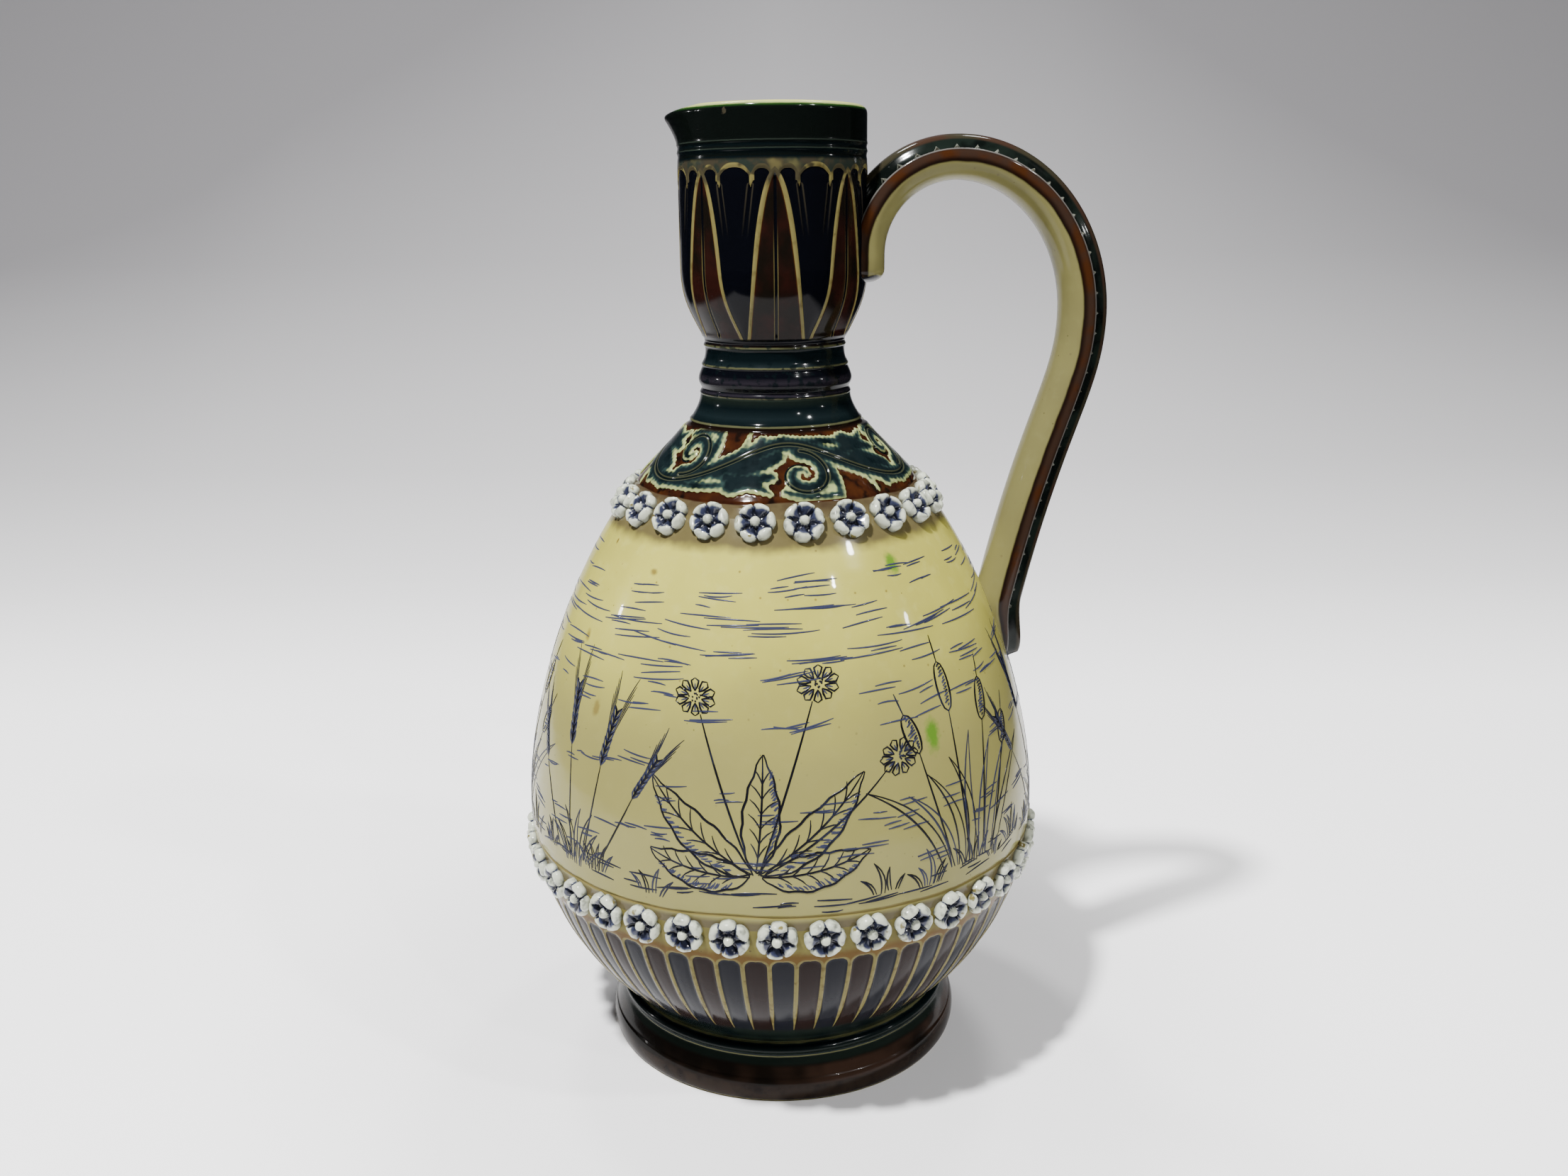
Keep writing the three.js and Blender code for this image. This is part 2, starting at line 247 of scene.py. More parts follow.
def run_of(line: Array) -> Array:
    """The length of a line up to each of its points."""
    return np.concatenate([[0.0], np.cumsum(np.hypot(*np.diff(line, axis=0).T))])


def turns_of(columns: int) -> Array:
    """The angles of evenly spaced columns round the jug, as one row."""
    return (np.arange(columns) * FULL_TURN / columns)[None, :]


def grid_faces(rows: int, columns: int, ring: bool = True, loop: bool = False) -> Array:
    """Corner numbers of a grid's four-sided faces.

    Args:
        rows: How many rows of corners it has.
        columns: How many corners each row has.
        ring: Whether the last column meets the first.
        loop: Whether the last row meets the first.

    Returns:
        Four corner numbers for each face.
    """
    row = np.arange(rows - (not loop))[:, None]
    column = np.arange(columns - (not ring))[None, :]
    here, above = row * columns, (row + 1) % rows * columns
    beside = (column + 1) % columns
    return np.stack([here + column, here + beside, above + beside, above + column], axis=-1).reshape(-1, 4)


@dataclass(frozen=True)
class TurnedLine:
    """A thin line turned round the wall. It is raised, or cut where its stand is below zero."""

    height: float
    stand: float
    half_width: float


class Outline:
    """A wall's outside, upwards, as radius against height, with its thin turned lines."""

    STEP = 0.05

    def __init__(self, points: Array, lines: tuple[TurnedLine, ...] = ()) -> None:
        """Divides the outline finely and adds the lines.

        Args:
            points: Rows of radius and height, upwards.
            lines: The turned lines on it.
        """
        run = run_of(points)
        self.run = np.arange(0.0, run[-1] + self.STEP, self.STEP)
        radius = np.interp(self.run, run, points[:, 0])
        self.height = np.interp(self.run, run, points[:, 1])
        for line in lines:
            radius += line.stand * np.exp(-(((self.height - line.height) / line.half_width) ** 2))
        self.radius = radius
        self.out = normals_of(np.stack([radius, self.height], axis=1))

    def radius_at(self, height: Array) -> Array:
        """The wall's radius at each height."""
        return np.interp(height, self.height, self.radius)

    def run_at(self, height: Array) -> Array:
        """How far up the wall each height lies, along its surface."""
        return np.interp(height, self.height, self.run)

    def height_at(self, run: Array) -> Array:
        """The height at each length along the wall's surface."""
        return np.interp(run, self.run, self.height)

    def out_at(self, height: Array) -> Array:
        """The wall's outward direction at each height, as out and up."""
        return np.stack([np.interp(height, self.height, self.out[:, i]) for i in (0, 1)], axis=-1)

    def place(self, turn: Array, height: Array, lift: Array) -> Array:
        """Points on or near the wall.

        Args:
            turn: Angles round the jug.
            height: Heights on the wall.
            lift: How far each point stands off the wall.

        Returns:
            Positions in millimetres from the jug's axis, with one more dimension of three.
        """
        turn, height, lift = np.broadcast_arrays(np.radians(turn), height, lift)
        out = self.out_at(height)
        reach = self.radius_at(height) + lift * out[..., 0]
        return np.stack([reach * np.sin(turn), -reach * np.cos(turn), height + lift * out[..., 1]], axis=-1)

    def rows(self, low: float, high: float, step: float) -> Array:
        """Heights from low to high, evenly spaced along the wall's surface."""
        start, end = self.run_at(low), self.run_at(high)
        return self.height_at(np.linspace(start, end, max(2, round((end - start) / step) + 1)))

    def section(self, heights: Array) -> Array:
        """The outline's points at these heights."""
        return np.stack([self.radius_at(heights), heights], axis=1)

    def inset(self, heights: Array, wall: float) -> Array:
        """The inside face at these heights, a wall's thickness in."""
        return self.section(heights) - wall * self.out_at(heights)


@dataclass(frozen=True)
class Form:
    """The jug's thrown form: the sizes that its sections share."""

    foot_height: float = 14.4
    waist_radius: float = 42.75
    body_height: float = 158.0
    belly_radius: float = 66.5
    belly_rise: float = 51.6
    body_wall: float = 4.5
    break_radius: float = 31.6
    break_drop: float = 17.4
    neck_root_radius: float = 18.85
    neck_height: float = 13.0
    neck_top_radius: float = 17.5
    collar_height: float = 54.6
    collar_radius: float = 22.9
    collar_wall: float = 3.6
    flare_height: float = 17.6
    seat_width: float = 6.4

    @property
    def neck_base(self) -> float:
        """The height where the neck starts."""
        return self.foot_height + self.body_height

    @property
    def collar_base(self) -> float:
        """The height where the collar starts."""
        return self.neck_base + self.neck_height

    @property
    def rim_height(self) -> float:
        """The jug's full height."""
        return self.collar_base + self.collar_height

    @property
    def throat_radius(self) -> float:
        """The radius of the way in through the neck."""
        return self.neck_root_radius - self.body_wall

    def body_points(self) -> Array:
        """The outside of belly and shoulder."""
        waist = (self.waist_radius, self.foot_height)
        belly = (self.belly_radius, self.foot_height + self.belly_rise)
        turn = (self.break_radius, self.neck_base - self.break_drop)
        root = (self.neck_root_radius, self.neck_base)
        lower = turned_curve(waist, 50, 8, belly, 90, 29)
        upper = turned_curve(belly, 90, 28.2, turn, 135, 27.4)
        shoulder = turned_curve(turn, 135, 8.6, root, 90, 4.7)
        return np.vstack([lower, upper[1:], shoulder[1:]])

    def flare_points(self) -> Array:
        """The outside of the collar's flare."""
        start = (self.neck_top_radius, self.collar_base)
        end = (self.collar_radius, self.collar_base + self.flare_height)
        return turned_curve(start, 64.6, 7.5, end, 90, 8)


FORM = Form()


def axis_place() -> Vector:
    """The jug's axis in the frame: the middle of the foot's box."""
    low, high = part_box("foot")
    return Vector(((low.x + high.x) / 2, (low.y + high.y) / 2, 0.0))


AXIS = axis_place()


def to_frame(points: Array) -> Array:
    """Millimetres from the jug's axis turned into metres in the frame."""
    return np.asarray(points, float).reshape(-1, 3) * MM + np.array(AXIS)


def add_to_scene(name: str, data: bpy.types.ID) -> Piece:
    """Makes an object of a mesh, a lamp or a camera and puts it in the scene."""
    made = bpy.data.objects.new(name, data)
    bpy.context.scene.collection.objects.link(made)
    return made


def keep_field(mesh: Mesh, label: str, values: Array) -> None:
    """Keeps a number or a direction at each corner of a mesh.

    Args:
        mesh: The mesh.
        label: The name that they are kept under.
        values: A number or a direction for each corner.
    """
    values = np.asarray(values, np.float32)
    kind, key = ("FLOAT_VECTOR", "vector") if values.ndim == 2 else ("FLOAT", "value")
    mesh.attributes.new(label, kind, "POINT").data.foreach_set(key, values.ravel())


def make_mesh(name: str, corners: Array, faces: list, fields: dict[str, Array]) -> Piece:
    """Makes a smooth mesh object in the scene.

    Args:
        name: The piece's name.
        corners: Positions in millimetres from the jug's axis.
        faces: Corner numbers of each face, seen from outside against the clock.
        fields: Numbers to keep at each corner, which the finish reads.

    Returns:
        The object, at the origin, with its place in its mesh.
    """
    mesh = bpy.data.meshes.new(name)
    mesh.from_pydata(to_frame(corners), [], faces)
    for label, values in fields.items():
        keep_field(mesh, label, np.ravel(values))
    mesh.shade_smooth()
    return add_to_scene(name, mesh)


@dataclass
class Shell:
    """A turned wall as a grid of corners, closed all round.

    Args:
        section: Rows of radius and height: up the outside, over the top and down the inside.
        columns: How many corners go round.
        outside: How many rows belong to the outside, which carries the relief.
        lift: How far the relief moves each outside corner, as rows by columns.
        fields: Numbers kept at the outside corners.
        capped: Whether the section starts and ends on the axis, instead of on itself.
    """

    section: Array
    columns: int
    outside: int
    lift: Array | None = None
    fields: dict[str, Array] = field(default_factory=dict)
    capped: bool = False

    def grid(self) -> Array:
        """The corners' positions, as rows by columns by three."""
        turn = np.radians(turns_of(self.columns))
        lift = np.zeros((len(self.section), self.columns))
        if self.lift is not None:
            lift[: self.outside] = self.lift
        out = normals_of(self.section)
        radius = self.section[:, :1] + lift * out[:, :1]
        height = self.section[:, 1:] + lift * out[:, 1:]
        return np.stack([radius * np.sin(turn), -radius * np.cos(turn), height + 0 * turn], axis=-1)

    def build(self, name: str, grid: Array | None = None) -> Piece:
        """Makes the mesh.

        Args:
            name: The piece's name.
            grid: The corners, where the caller has bent them further.

        Returns:
            The piece. Its outside faces have material 0 and the others material 1.
        """
        corners = self.grid() if grid is None else grid
        fields = {label: np.zeros(corners.shape[:2]) for label in self.fields}
        for label, values in self.fields.items():
            fields[label][: self.outside] = values
        faces = grid_faces(len(self.section), self.columns, loop=not self.capped)
        piece = make_mesh(name, corners, faces.tolist(), fields)
        mesh = piece.data
        row = faces[:, 0] // self.columns
        mesh.polygons.foreach_set("material_index", (row >= self.outside - 1).astype(np.int32))
        ends = np.zeros(len(mesh.edges) * 2, np.int32)
        mesh.edges.foreach_get("vertices", ends)
        ends = ends.reshape(-1, 2) // self.columns
        corner_rows = [0, self.outside - 1] if not self.capped else []
        sharp = (ends[:, 0] == ends[:, 1]) & np.isin(ends[:, 0], corner_rows)
        mesh.attributes.new("sharp_edge", "BOOLEAN", "EDGE").data.foreach_set("value", sharp)
        if self.capped:
            close_poles(mesh)
        return piece


def close_poles(mesh: Mesh) -> None:
    """Merges the corners that lie together on the axis into one.

    Args:
        mesh: The mesh, which is changed.
    """
    work = bmesh.new()
    work.from_mesh(mesh)
    bmesh.ops.remove_doubles(work, verts=work.verts, dist=0.001 * MM)
    work.to_mesh(mesh)
    work.free()


class Graph:
    """Short calls that add nodes to one node tree and link them."""

    def __init__(self, tree: bpy.types.NodeTree) -> None:
        """Keeps the tree that the nodes go to."""
        self.tree = tree

    def add(self, kind: str, inputs: Inputs | None = None, **settings: object) -> bpy.types.Node:
        """Adds a node of this kind, sets its options and feeds its inputs."""
        node = self.tree.nodes.new(kind)
        for name, value in settings.items():
            setattr(node, name, value)
        return self.fill(node, inputs or {})

    def fill(self, node: bpy.types.Node, inputs: Inputs) -> bpy.types.Node:
        """Feeds a node's inputs, by name or number."""
        for key, value in inputs.items():
            self.feed(node.inputs[key], value)
        return node

    def link(self, kind: str, inputs: Inputs, output: str | int = 0, **settings: object) -> Socket:
        """Adds a node and returns one of its outputs."""
        return self.add(kind, inputs, **settings).outputs[output]

    def feed(self, socket: Socket, value: object) -> None:
        """Links a socket to another one, or sets its value."""
        if isinstance(value, Socket):
            self.tree.links.new(value, socket)
        else:
            socket.default_value = value.rgba if isinstance(value, Tint) else value

    def math(self, operation: str, *values: object) -> Socket:
        """One step of arithmetic on one, two or three values."""
        return self.link("ShaderNodeMath", dict(enumerate(values)), operation=operation)

    def times(self, *values: object) -> Socket:
        """The product of two values."""
        return self.math("MULTIPLY", *values)

    def vector(self, operation: str, first: object, second: object) -> Socket:
        """One step of arithmetic on two vectors."""
        return self.link("ShaderNodeVectorMath", {0: first, 1: second}, operation=operation)

    def rise(self, value: object, low: float, high: float) -> Socket:
        """A soft step from 0 at low to 1 at high. Low may be the greater one."""
        ends = {"From Min": min(low, high), "From Max": max(low, high)}
        ends |= {"To Min": float(low > high), "To Max": float(low <= high)}
        return self.link("ShaderNodeMapRange", {"Value": value, **ends}, interpolation_type="SMOOTHSTEP")

    def mix(self, share: object, first: object, second: object) -> Socket:
        """A colour between two, by the second one's share."""
        return self.link("ShaderNodeMix", {0: share, 6: first, 7: second}, 2, data_type="RGBA")

    def place(self) -> Socket:
        """The point's place on the object, in metres."""
        return self.link("ShaderNodeTexCoord", {}, "Object")

    def height(self) -> Socket:
        """The point's height in millimetres."""
        return self.math("DIVIDE", self.link("ShaderNodeSeparateXYZ", {0: self.place()}, 2), MM)

    def noise(self, size: float, detail: float = 2.0) -> Socket:
        """Even noise round 0.5, with lumps of about this size in millimetres."""
        inputs = {"Vector": self.place(), "Scale": 1.0 / (size * MM), "Detail": detail}
        return self.link("ShaderNodeTexNoise", inputs)

    def clouds(self, size: float, detail: float, low: float, high: float) -> Socket:
        """A mask of soft patches: where noise of this size and detail rises from low to high."""
        return self.rise(self.noise(size, detail), low, high)

    def mottle(self, size: float, detail: float, low: float, high: float, *colors: object) -> Socket:
        """A colour with soft patches of another one."""
        return self.mix(self.clouds(size, detail, low, high), *colors)

    def cells(self, size: float, output: str) -> Socket:
        """Scattered cells of about this size in millimetres: the distance to a middle, or a chance colour."""
        inputs = {"Vector": self.place(), "Scale": 1.0 / (size * MM)}
        return self.link("ShaderNodeTexVoronoi", inputs, output, feature="F1")

    def field(self, name: str) -> Socket:
        """A number that the mesh keeps at its corners."""
        return self.link("ShaderNodeAttribute", {}, "Fac", attribute_name=name)

    def ramp(self, value: object, *bands: tuple) -> Socket:
        """Colours along a value.

        Args:
            value: What the colours follow.
            bands: From low to high: where a colour is reached, where it is left if it lasts, and the colour.

        Returns:
            The colour.
        """
        stops = [(at, band[-1]) for band in bands for at in band[:-1]]
        low, high = stops[0][0], stops[-1][0]
        share = self.math("DIVIDE", self.math("SUBTRACT", value, low), high - low)
        node = self.add("ShaderNodeValToRGB", {0: share})
        elements = node.color_ramp.elements
        elements[0].color, elements[-1].color = stops[0][1].rgba, stops[-1][1].rgba
        for at, tint in stops[1:-1]:
            elements.new((at - low) / (high - low)).color = tint.rgba
        return node.outputs[0]

    def sway(self, value: object, size: float, by: float) -> Socket:
        """A value moved up and down by noise of this size, by at most this much."""
        return self.math("MULTIPLY_ADD", self.math("SUBTRACT", self.noise(size), 0.5), 2 * by, value)

    def blot(self, middle: Array, size: Pair, edge: Pair, lumps: Pair = (1.4, 0.5)) -> Socket:
        """A soft, uneven spot's mask.

        Args:
            middle: The spot's middle, in millimetres from the jug's axis.
            size: Half its width and half its height, in millimetres.
            edge: Where it ends and where it is full, in shares of its size.
            lumps: The size of its unevenness in millimetres, and the greatest sway in shares of the spot.

        Returns:
            A mask from 0 to 1.
        """
        across, up = 1.0 / (size[0] * MM), 1.0 / (size[1] * MM)
        shift = self.vector("SUBTRACT", self.place(), to_frame(middle)[0])
        stretch = self.vector("MULTIPLY", shift, (across, across, up))
        far = self.link("ShaderNodeVectorMath", {0: stretch}, "Value", operation="LENGTH")
        return self.rise(self.sway(far, *lumps), *edge)

    def group(self, tree: bpy.types.NodeTree, **values: object) -> bpy.types.Node:
        """Places a node group and sets its inputs by name."""
        return self.add("ShaderNodeGroup", values, node_tree=tree)


def new_group(name: str, inputs: dict[str, float], outputs: dict[str, str]) -> tuple[Graph, dict, dict]:
    """Starts a shader node group.

    Args:
        name: The group's name.
        inputs: Each input's name with its usual value.
        outputs: Each output's name with the kind of its socket.

    Returns:
        The group's graph, its input sockets by name, and the sockets to feed for its outputs.
    """
    tree = bpy.data.node_groups.new(name, "ShaderNodeTree")
    for label, value in inputs.items():
        tree.interface.new_socket(label, in_out="INPUT", socket_type="NodeSocketFloat").default_value = value
    for label, kind in outputs.items():
        tree.interface.new_socket(label, in_out="OUTPUT", socket_type=kind)
    graph = Graph(tree)
    entry, leave = graph.add("NodeGroupInput"), graph.add("NodeGroupOutput")
    return graph, {s.name: s for s in entry.outputs if s.name}, {s.name: s for s in leave.inputs if s.name}


def new_material(name: str) -> tuple[bpy.types.Material, Graph, bpy.types.Node]:
    """Starts a material: itself, its graph and its shader."""
    made = bpy.data.materials.new(name)
    made.use_nodes = True
    return made, Graph(made.node_tree), made.node_tree.nodes["Principled BSDF"]


def skin_group() -> bpy.types.NodeTree:
    """The skin of salt glaze: a fine orange peel, slow unevenness and pinholes, as a normal and masks."""
    usual = {"Peel": 0.006, "Swell": 0.03, "Pits": 0.03}
    kinds = {"Normal": "NodeSocketVector", "Pit": "NodeSocketFloat", "Gloss": "NodeSocketFloat"}
    graph, given, out = new_group("salt_glaze_skin", usual, kinds)
    peel = graph.times(graph.noise(0.9, 3.0), given["Peel"])
    swell = graph.times(graph.noise(9.0, 1.0), given["Swell"])
    pinhole = graph.rise(graph.cells(2.6, "Distance"), 0.09, 0.03)
    pit = graph.times(pinhole, graph.clouds(14.0, 2.0, 0.5, 0.62))
    height = graph.math("ADD", graph.math("ADD", peel, swell), graph.times(pit, given["Pits"]))
    graph.feed(out["Normal"], graph.link("ShaderNodeBump", {"Distance": MM, "Height": height}))
    graph.feed(out["Pit"], pit)
    graph.feed(out["Gloss"], graph.noise(6.0, 2.0))
    return graph.tree


def cream_group() -> bpy.types.NodeTree:
    """The cream stoneware ground under clear salt glaze: mottled, flecked, warmer in places."""
    usual = {"Warmth": 0.35, "Flecks": 0.6}
    graph, given, out = new_group("cream_ground", usual, {"Color": "NodeSocketColor"})
    warm = graph.times(graph.clouds(26.0, 3.0, 0.35, 0.7), given["Warmth"])
    base = graph.mix(warm, Tint.CREAM, Tint.CREAM_WARM)
    base = graph.mix(graph.times(graph.clouds(3.2, 3.0, 0.5, 0.8), 0.35), base, Tint.CREAM_PALE)
    near = graph.times(graph.rise(graph.cells(3.4, "Distance"), 0.12, 0.05), given["Flecks"])
    rare = graph.math("GREATER_THAN", graph.cells(3.4, "Color"), 0.62)
    graph.feed(out["Color"], graph.mix(graph.times(near, rare), base, Tint.RUST))
    return graph.tree


SKIN = skin_group()
GROUND = cream_group()


@dataclass(frozen=True)
class Glaze:
    """A fired glaze. Each kind says its own colours in paint()."""

    name: str
    roughness: float = 0.2
    shine: float = 0.06
    coat: float = 0.14
    coat_roughness: float = 0.035
    peel: float = 0.004
    swell: float = 0.05
    pits: float = -0.03
    pit_tint: float = 0.6
    unevenness: float = 0.06

    def paint(self, graph: Graph) -> Socket:
        """The glaze's colour over the surface.

        Args:
            graph: The graph of the glaze's material.

        Returns:
            The colour's socket.
        """
        raise NotImplementedError

    def material(self) -> bpy.types.Material:
        """Builds the material: the colour, the glaze's skin and its gloss."""
        made, graph, shader = new_material(self.name)
        skin = graph.group(SKIN, Peel=self.peel, Swell=self.swell, Pits=self.pits)
        pits = graph.times(skin.outputs["Pit"], self.pit_tint)
        smoothest = self.roughness - self.unevenness
        gloss = graph.math("MULTIPLY_ADD", skin.outputs["Gloss"], 2 * self.unevenness, smoothest)
        inputs = {
            "Base Color": graph.mix(pits, self.paint(graph), Tint.BROWN_DARK),
            "Roughness": gloss,
            "Normal": skin.outputs["Normal"],
            "Coat Weight": self.coat,
            "Coat Roughness": self.coat_roughness,
            "Specular IOR Level": self.shine,
            "IOR": 1.5,
        }
        graph.fill(shader, inputs)
        return made


def cream(graph: Graph, warmth: float = 0.35, flecks: float = 0.6) -> Socket:
    """The cream ground's colour."""
    return graph.group(GROUND, Warmth=warmth, Flecks=flecks).outputs[0]


class InsideGlaze(Glaze):
    """The thin brown glaze inside the jug."""

    def paint(self, graph: Graph) -> Socket:
        """Brown and patchy."""
        return graph.mottle(8.0, 4.0, 0.35, 0.7, Tint.INSIDE, Tint.OCHRE)


class FootGlaze(Glaze):
    """Brown on the flange, dark teal above, pale on the turned lines."""

    def paint(self, graph: Graph) -> Socket:
        """Bands by height, with edges that sway a little.

        Args:
            graph: The graph of the glaze's material.

        Returns:
            The colour's socket.
        """
        height = graph.sway(graph.height(), 5.0, 0.12)
        brown = graph.mottle(16.0, 2.0, 0.42, 0.66, Tint.DART_DARK, Tint.UMBER)
        flange = graph.mottle(4.0, 3.0, 0.4, 0.75, Tint.FLANGE, Tint.BROWN_DARK)
        brown = graph.mix(graph.rise(height, 5.0, 4.2), brown, flange)
        bands = graph.ramp(
            height,
            (0.0, 0.4, Tint.LINE_CREAM), (0.65, 8.4, Tint.BROWN_DARK), (9.4, 10.7, Tint.GREEN_BLACK),
            (10.85, 11.2, Tint.LINE_GREEN), (11.35, Tint.TEAL), (12.2, Tint.GREEN_BLACK),
            (13.6, 14.15, Tint.TEAL_DEEP), (14.25, 14.4, Tint.LINE_GREEN),
        )
        low = graph.times(graph.rise(height, 0.5, 0.8), graph.rise(height, 9.2, 8.2))
        return graph.mix(low, bands, brown)


class TongueGlaze(Glaze):
    """The row of tongues above the foot: blue-grey and plum panels between cream ribs."""

    def paint(self, graph: Graph) -> Socket:
        """Panels by their edge distance, the ochre glaze above them, and the green band below.

        Args:
            graph: The graph of the glaze's material.

        Returns:
            The colour's socket.
        """
        height = graph.height()
        edge = graph.field("tongue")
        panel = graph.mix(graph.rise(graph.field("odd"), 0.4, 0.6), Tint.BLUE_GREY, Tint.PLUM)
        ground = graph.mix(0.8, cream(graph, 0.8, 0.8), Tint.STRIP)
        ochre = graph.rise(graph.sway(height, 2.5, 0.8), 52.6, 50.4)
        rib = graph.mottle(1.6, 3.0, 0.45, 0.75, Tint.LINE_CREAM, Tint.LINE_WORN)
        above = graph.mix(graph.times(ochre, graph.rise(edge, -0.35, -0.75)), ground, Tint.OCHRE)
        above = graph.mix(graph.rise(edge, -0.75, -0.3), above, rib)
        color = graph.mix(graph.rise(edge, -0.06, 0.1), above, panel)
        dark = graph.rise(graph.sway(height, 3.0, 0.25), 22.6, 21.6)
        below = graph.mottle(9.0, 2.0, 0.4, 0.7, Tint.GREEN_BLACK, Tint.TEAL_DEEP)
        color = graph.mix(graph.times(dark, graph.rise(edge, -0.25, 0.0)), color, below)
        return graph.mix(graph.rise(height, 14.7, 14.55), color, Tint.LINE_GREEN)


class BellyGlaze(Glaze):
    """Cream stoneware under clear glaze, with green drips, a few scars and the scribed line."""

    def paint(self, graph: Graph) -> Socket:
        """The ground, with painted shade low down, warmer by the rosettes, with the drips and scars.

        Args:
            graph: The graph of the glaze's material.

        Returns:
            The colour's socket.
        """
        height = graph.height()
        # Painted shade: the cream turns darker towards the bottom, standing in for light that falls off
        # downwards.
        low = graph.rise(graph.sway(height, 30.0, 10.0), 130.0, 92.0)
        color = graph.mix(graph.times(low, 0.85), cream(graph), Tint.PAINTED_SHADE_CREAM_LOW)
        warm = graph.rise(graph.sway(height, 4.0, 1.0), 139.5, 142.5)
        warm = graph.math("MAXIMUM", graph.rise(height, 61.5, 59.5), warm)
        color = graph.mix(graph.times(warm, 0.95), color, Tint.STRIP)
        line = graph.rise(graph.math("ABSOLUTE", graph.field("scribe")), 0.7, 0.1)
        color = graph.mix(graph.times(line, 0.55), color, Tint.OCHRE)
        for spot in SPOTS:
            color = spot.dab(graph, color)
        return color


@dataclass(frozen=True)
class Spot:
    """A drip or scar of the firing on the belly: where it is and how large."""

    turn: float
    height: float
    half_width: float
    half_height: float
    tint: Tint
    depth: float = 0.9

    def dab(self, graph: Graph, color: Socket) -> Socket:
        """Lays the spot over a colour."""
        middle = BODY_WALL.place(self.turn, self.height, 0.0)
        mask = graph.blot(middle, (self.half_width, self.half_height), (1.3, 0.35))
        return graph.mix(graph.times(mask, self.depth), color, self.tint)


BODY_WALL = Outline(FORM.body_points())
SPOTS = (
    Spot(35.5, 136.5, 1.9, 3.6, Tint.GREEN_SPOT, 0.9),
    Spot(35.0, 99.0, 2.1, 4.6, Tint.GREEN_SPOT, 0.9),
    Spot(-62.0, 139.0, 0.5, 1.0, Tint.RUST, 0.8),
    Spot(-38.5, 135.0, 1.2, 0.8, Tint.RUST, 0.7),
    Spot(-57.0, 118.0, 1.0, 1.7, Tint.RUST, 0.6),
    Spot(-46.0, 103.5, 1.3, 2.4, Tint.RUST, 0.5),
    Spot(128.0, 96.0, 1.1, 3.0, Tint.GREEN_SPOT),
    Spot(-150.0, 84.0, 1.5, 1.2, Tint.RUST, 0.6),
)


class ShoulderGlaze(Glaze):
    """The scroll band: teal leaves with cream edges on amber brown."""

    def paint(self, graph: Graph) -> Socket:
        """Leaf, edge and ground by the leaf's edge distance, with the incised veins.

        Args:
            graph: The graph of the glaze's material.

        Returns:
            The colour's socket.
        """
        height = graph.height()
        leaf = graph.sway(graph.field("leaf"), 0.9, 0.14)
        vein = graph.field("vein")
        brown = graph.mottle(5.0, 3.0, 0.4, 0.7, Tint.BROWN, Tint.AMBER)
        brown = graph.mottle(3.5, 2.0, 0.5, 0.66, brown, Tint.BROWN_DARK)
        teal = graph.mix(graph.rise(graph.sway(leaf, 3.0, 0.5), 0.5, 1.7), Tint.TEAL_LIGHT, Tint.TEAL)
        teal = graph.mottle(4.0, 3.0, 0.45, 0.75, teal, Tint.TEAL_DEEP)
        edge = graph.mix(graph.rise(graph.sway(leaf, 1.5, 0.2), 0.2, 1.0), Tint.LEAF_EDGE, teal)
        color = graph.mix(graph.rise(leaf, -0.12, 0.02), brown, edge)
        inside = graph.rise(leaf, 0.0, 0.3)
        flank = graph.times(graph.rise(vein, 0.7, 0.5), inside)
        color = graph.mix(graph.times(flank, 0.3), color, Tint.LINE_GREEN)
        color = graph.mix(graph.rise(vein, 0.36, 0.2), color, Tint.TEAL_DEEP)
        ground = graph.mix(graph.rise(graph.sway(height, 4.0, 2.5), 147.0, 152.5), Tint.STRIP, Tint.UMBER)
        color = graph.mix(graph.rise(graph.field("border"), 0.15, -0.1), color, ground)
        dark = graph.times(graph.rise(height, 164.4, 165.2), graph.rise(height, 166.25, 165.95))
        color = graph.mix(dark, color, Tint.BROWN_DARK)
        neck = graph.ramp(
            graph.sway(height, 2.0, 0.1),
            (165.95, 166.3, Tint.NECK_LINE), (166.5, Tint.TEAL_DEEP), (168.0, Tint.TEAL),
            (170.2, Tint.TEAL_DEEP), (171.9, Tint.GREEN_BLACK), (172.4, Tint.LINE_DIM),
        )
        return graph.mix(graph.rise(height, 165.9, 166.0), color, neck)


class NeckGlaze(Glaze):
    """The neck ring: blue-black bead with painted grey sheen, and teal cove between pale lines."""

    def paint(self, graph: Graph) -> Socket:
        """Bands by height. The pale lines are worn through in places.

        Args:
            graph: The graph of the glaze's material.

        Returns:
            The colour's socket.
        """
        height = graph.sway(graph.height(), 1.6, 0.1)
        # Painted sheen: the plum-grey bands on the bead and on the ridge below it, and the lighter teal at
        # the cove's top, stand in for reflections.
        bands = graph.ramp(
            height,
            (172.4, 172.65, Tint.NECK_LINE), (172.8, Tint.BLUE_BLACK), (173.2, Tint.PAINTED_SHEEN_PLUM_GREY),
            (173.8, 174.6, Tint.BLUE_BLACK), (176.3, Tint.PAINTED_SHEEN_PLUM_GREY), (177.6, 179.4, Tint.BLUE_BLACK),
            (179.55, 179.8, Tint.NECK_LINE), (180.0, Tint.TEAL), (181.6, 183.6, Tint.TEAL_DEEP),
            (184.1, Tint.TEAL), (184.3, 184.5, Tint.NECK_LINE), (184.75, Tint.BROWN_DARK),
            (185.4, Tint.BLUE_BLACK),
        )
        return graph.mix(graph.times(graph.clouds(1.7, 2.0, 0.52, 0.64), 0.75), bands, Tint.TEAL_DEEP)


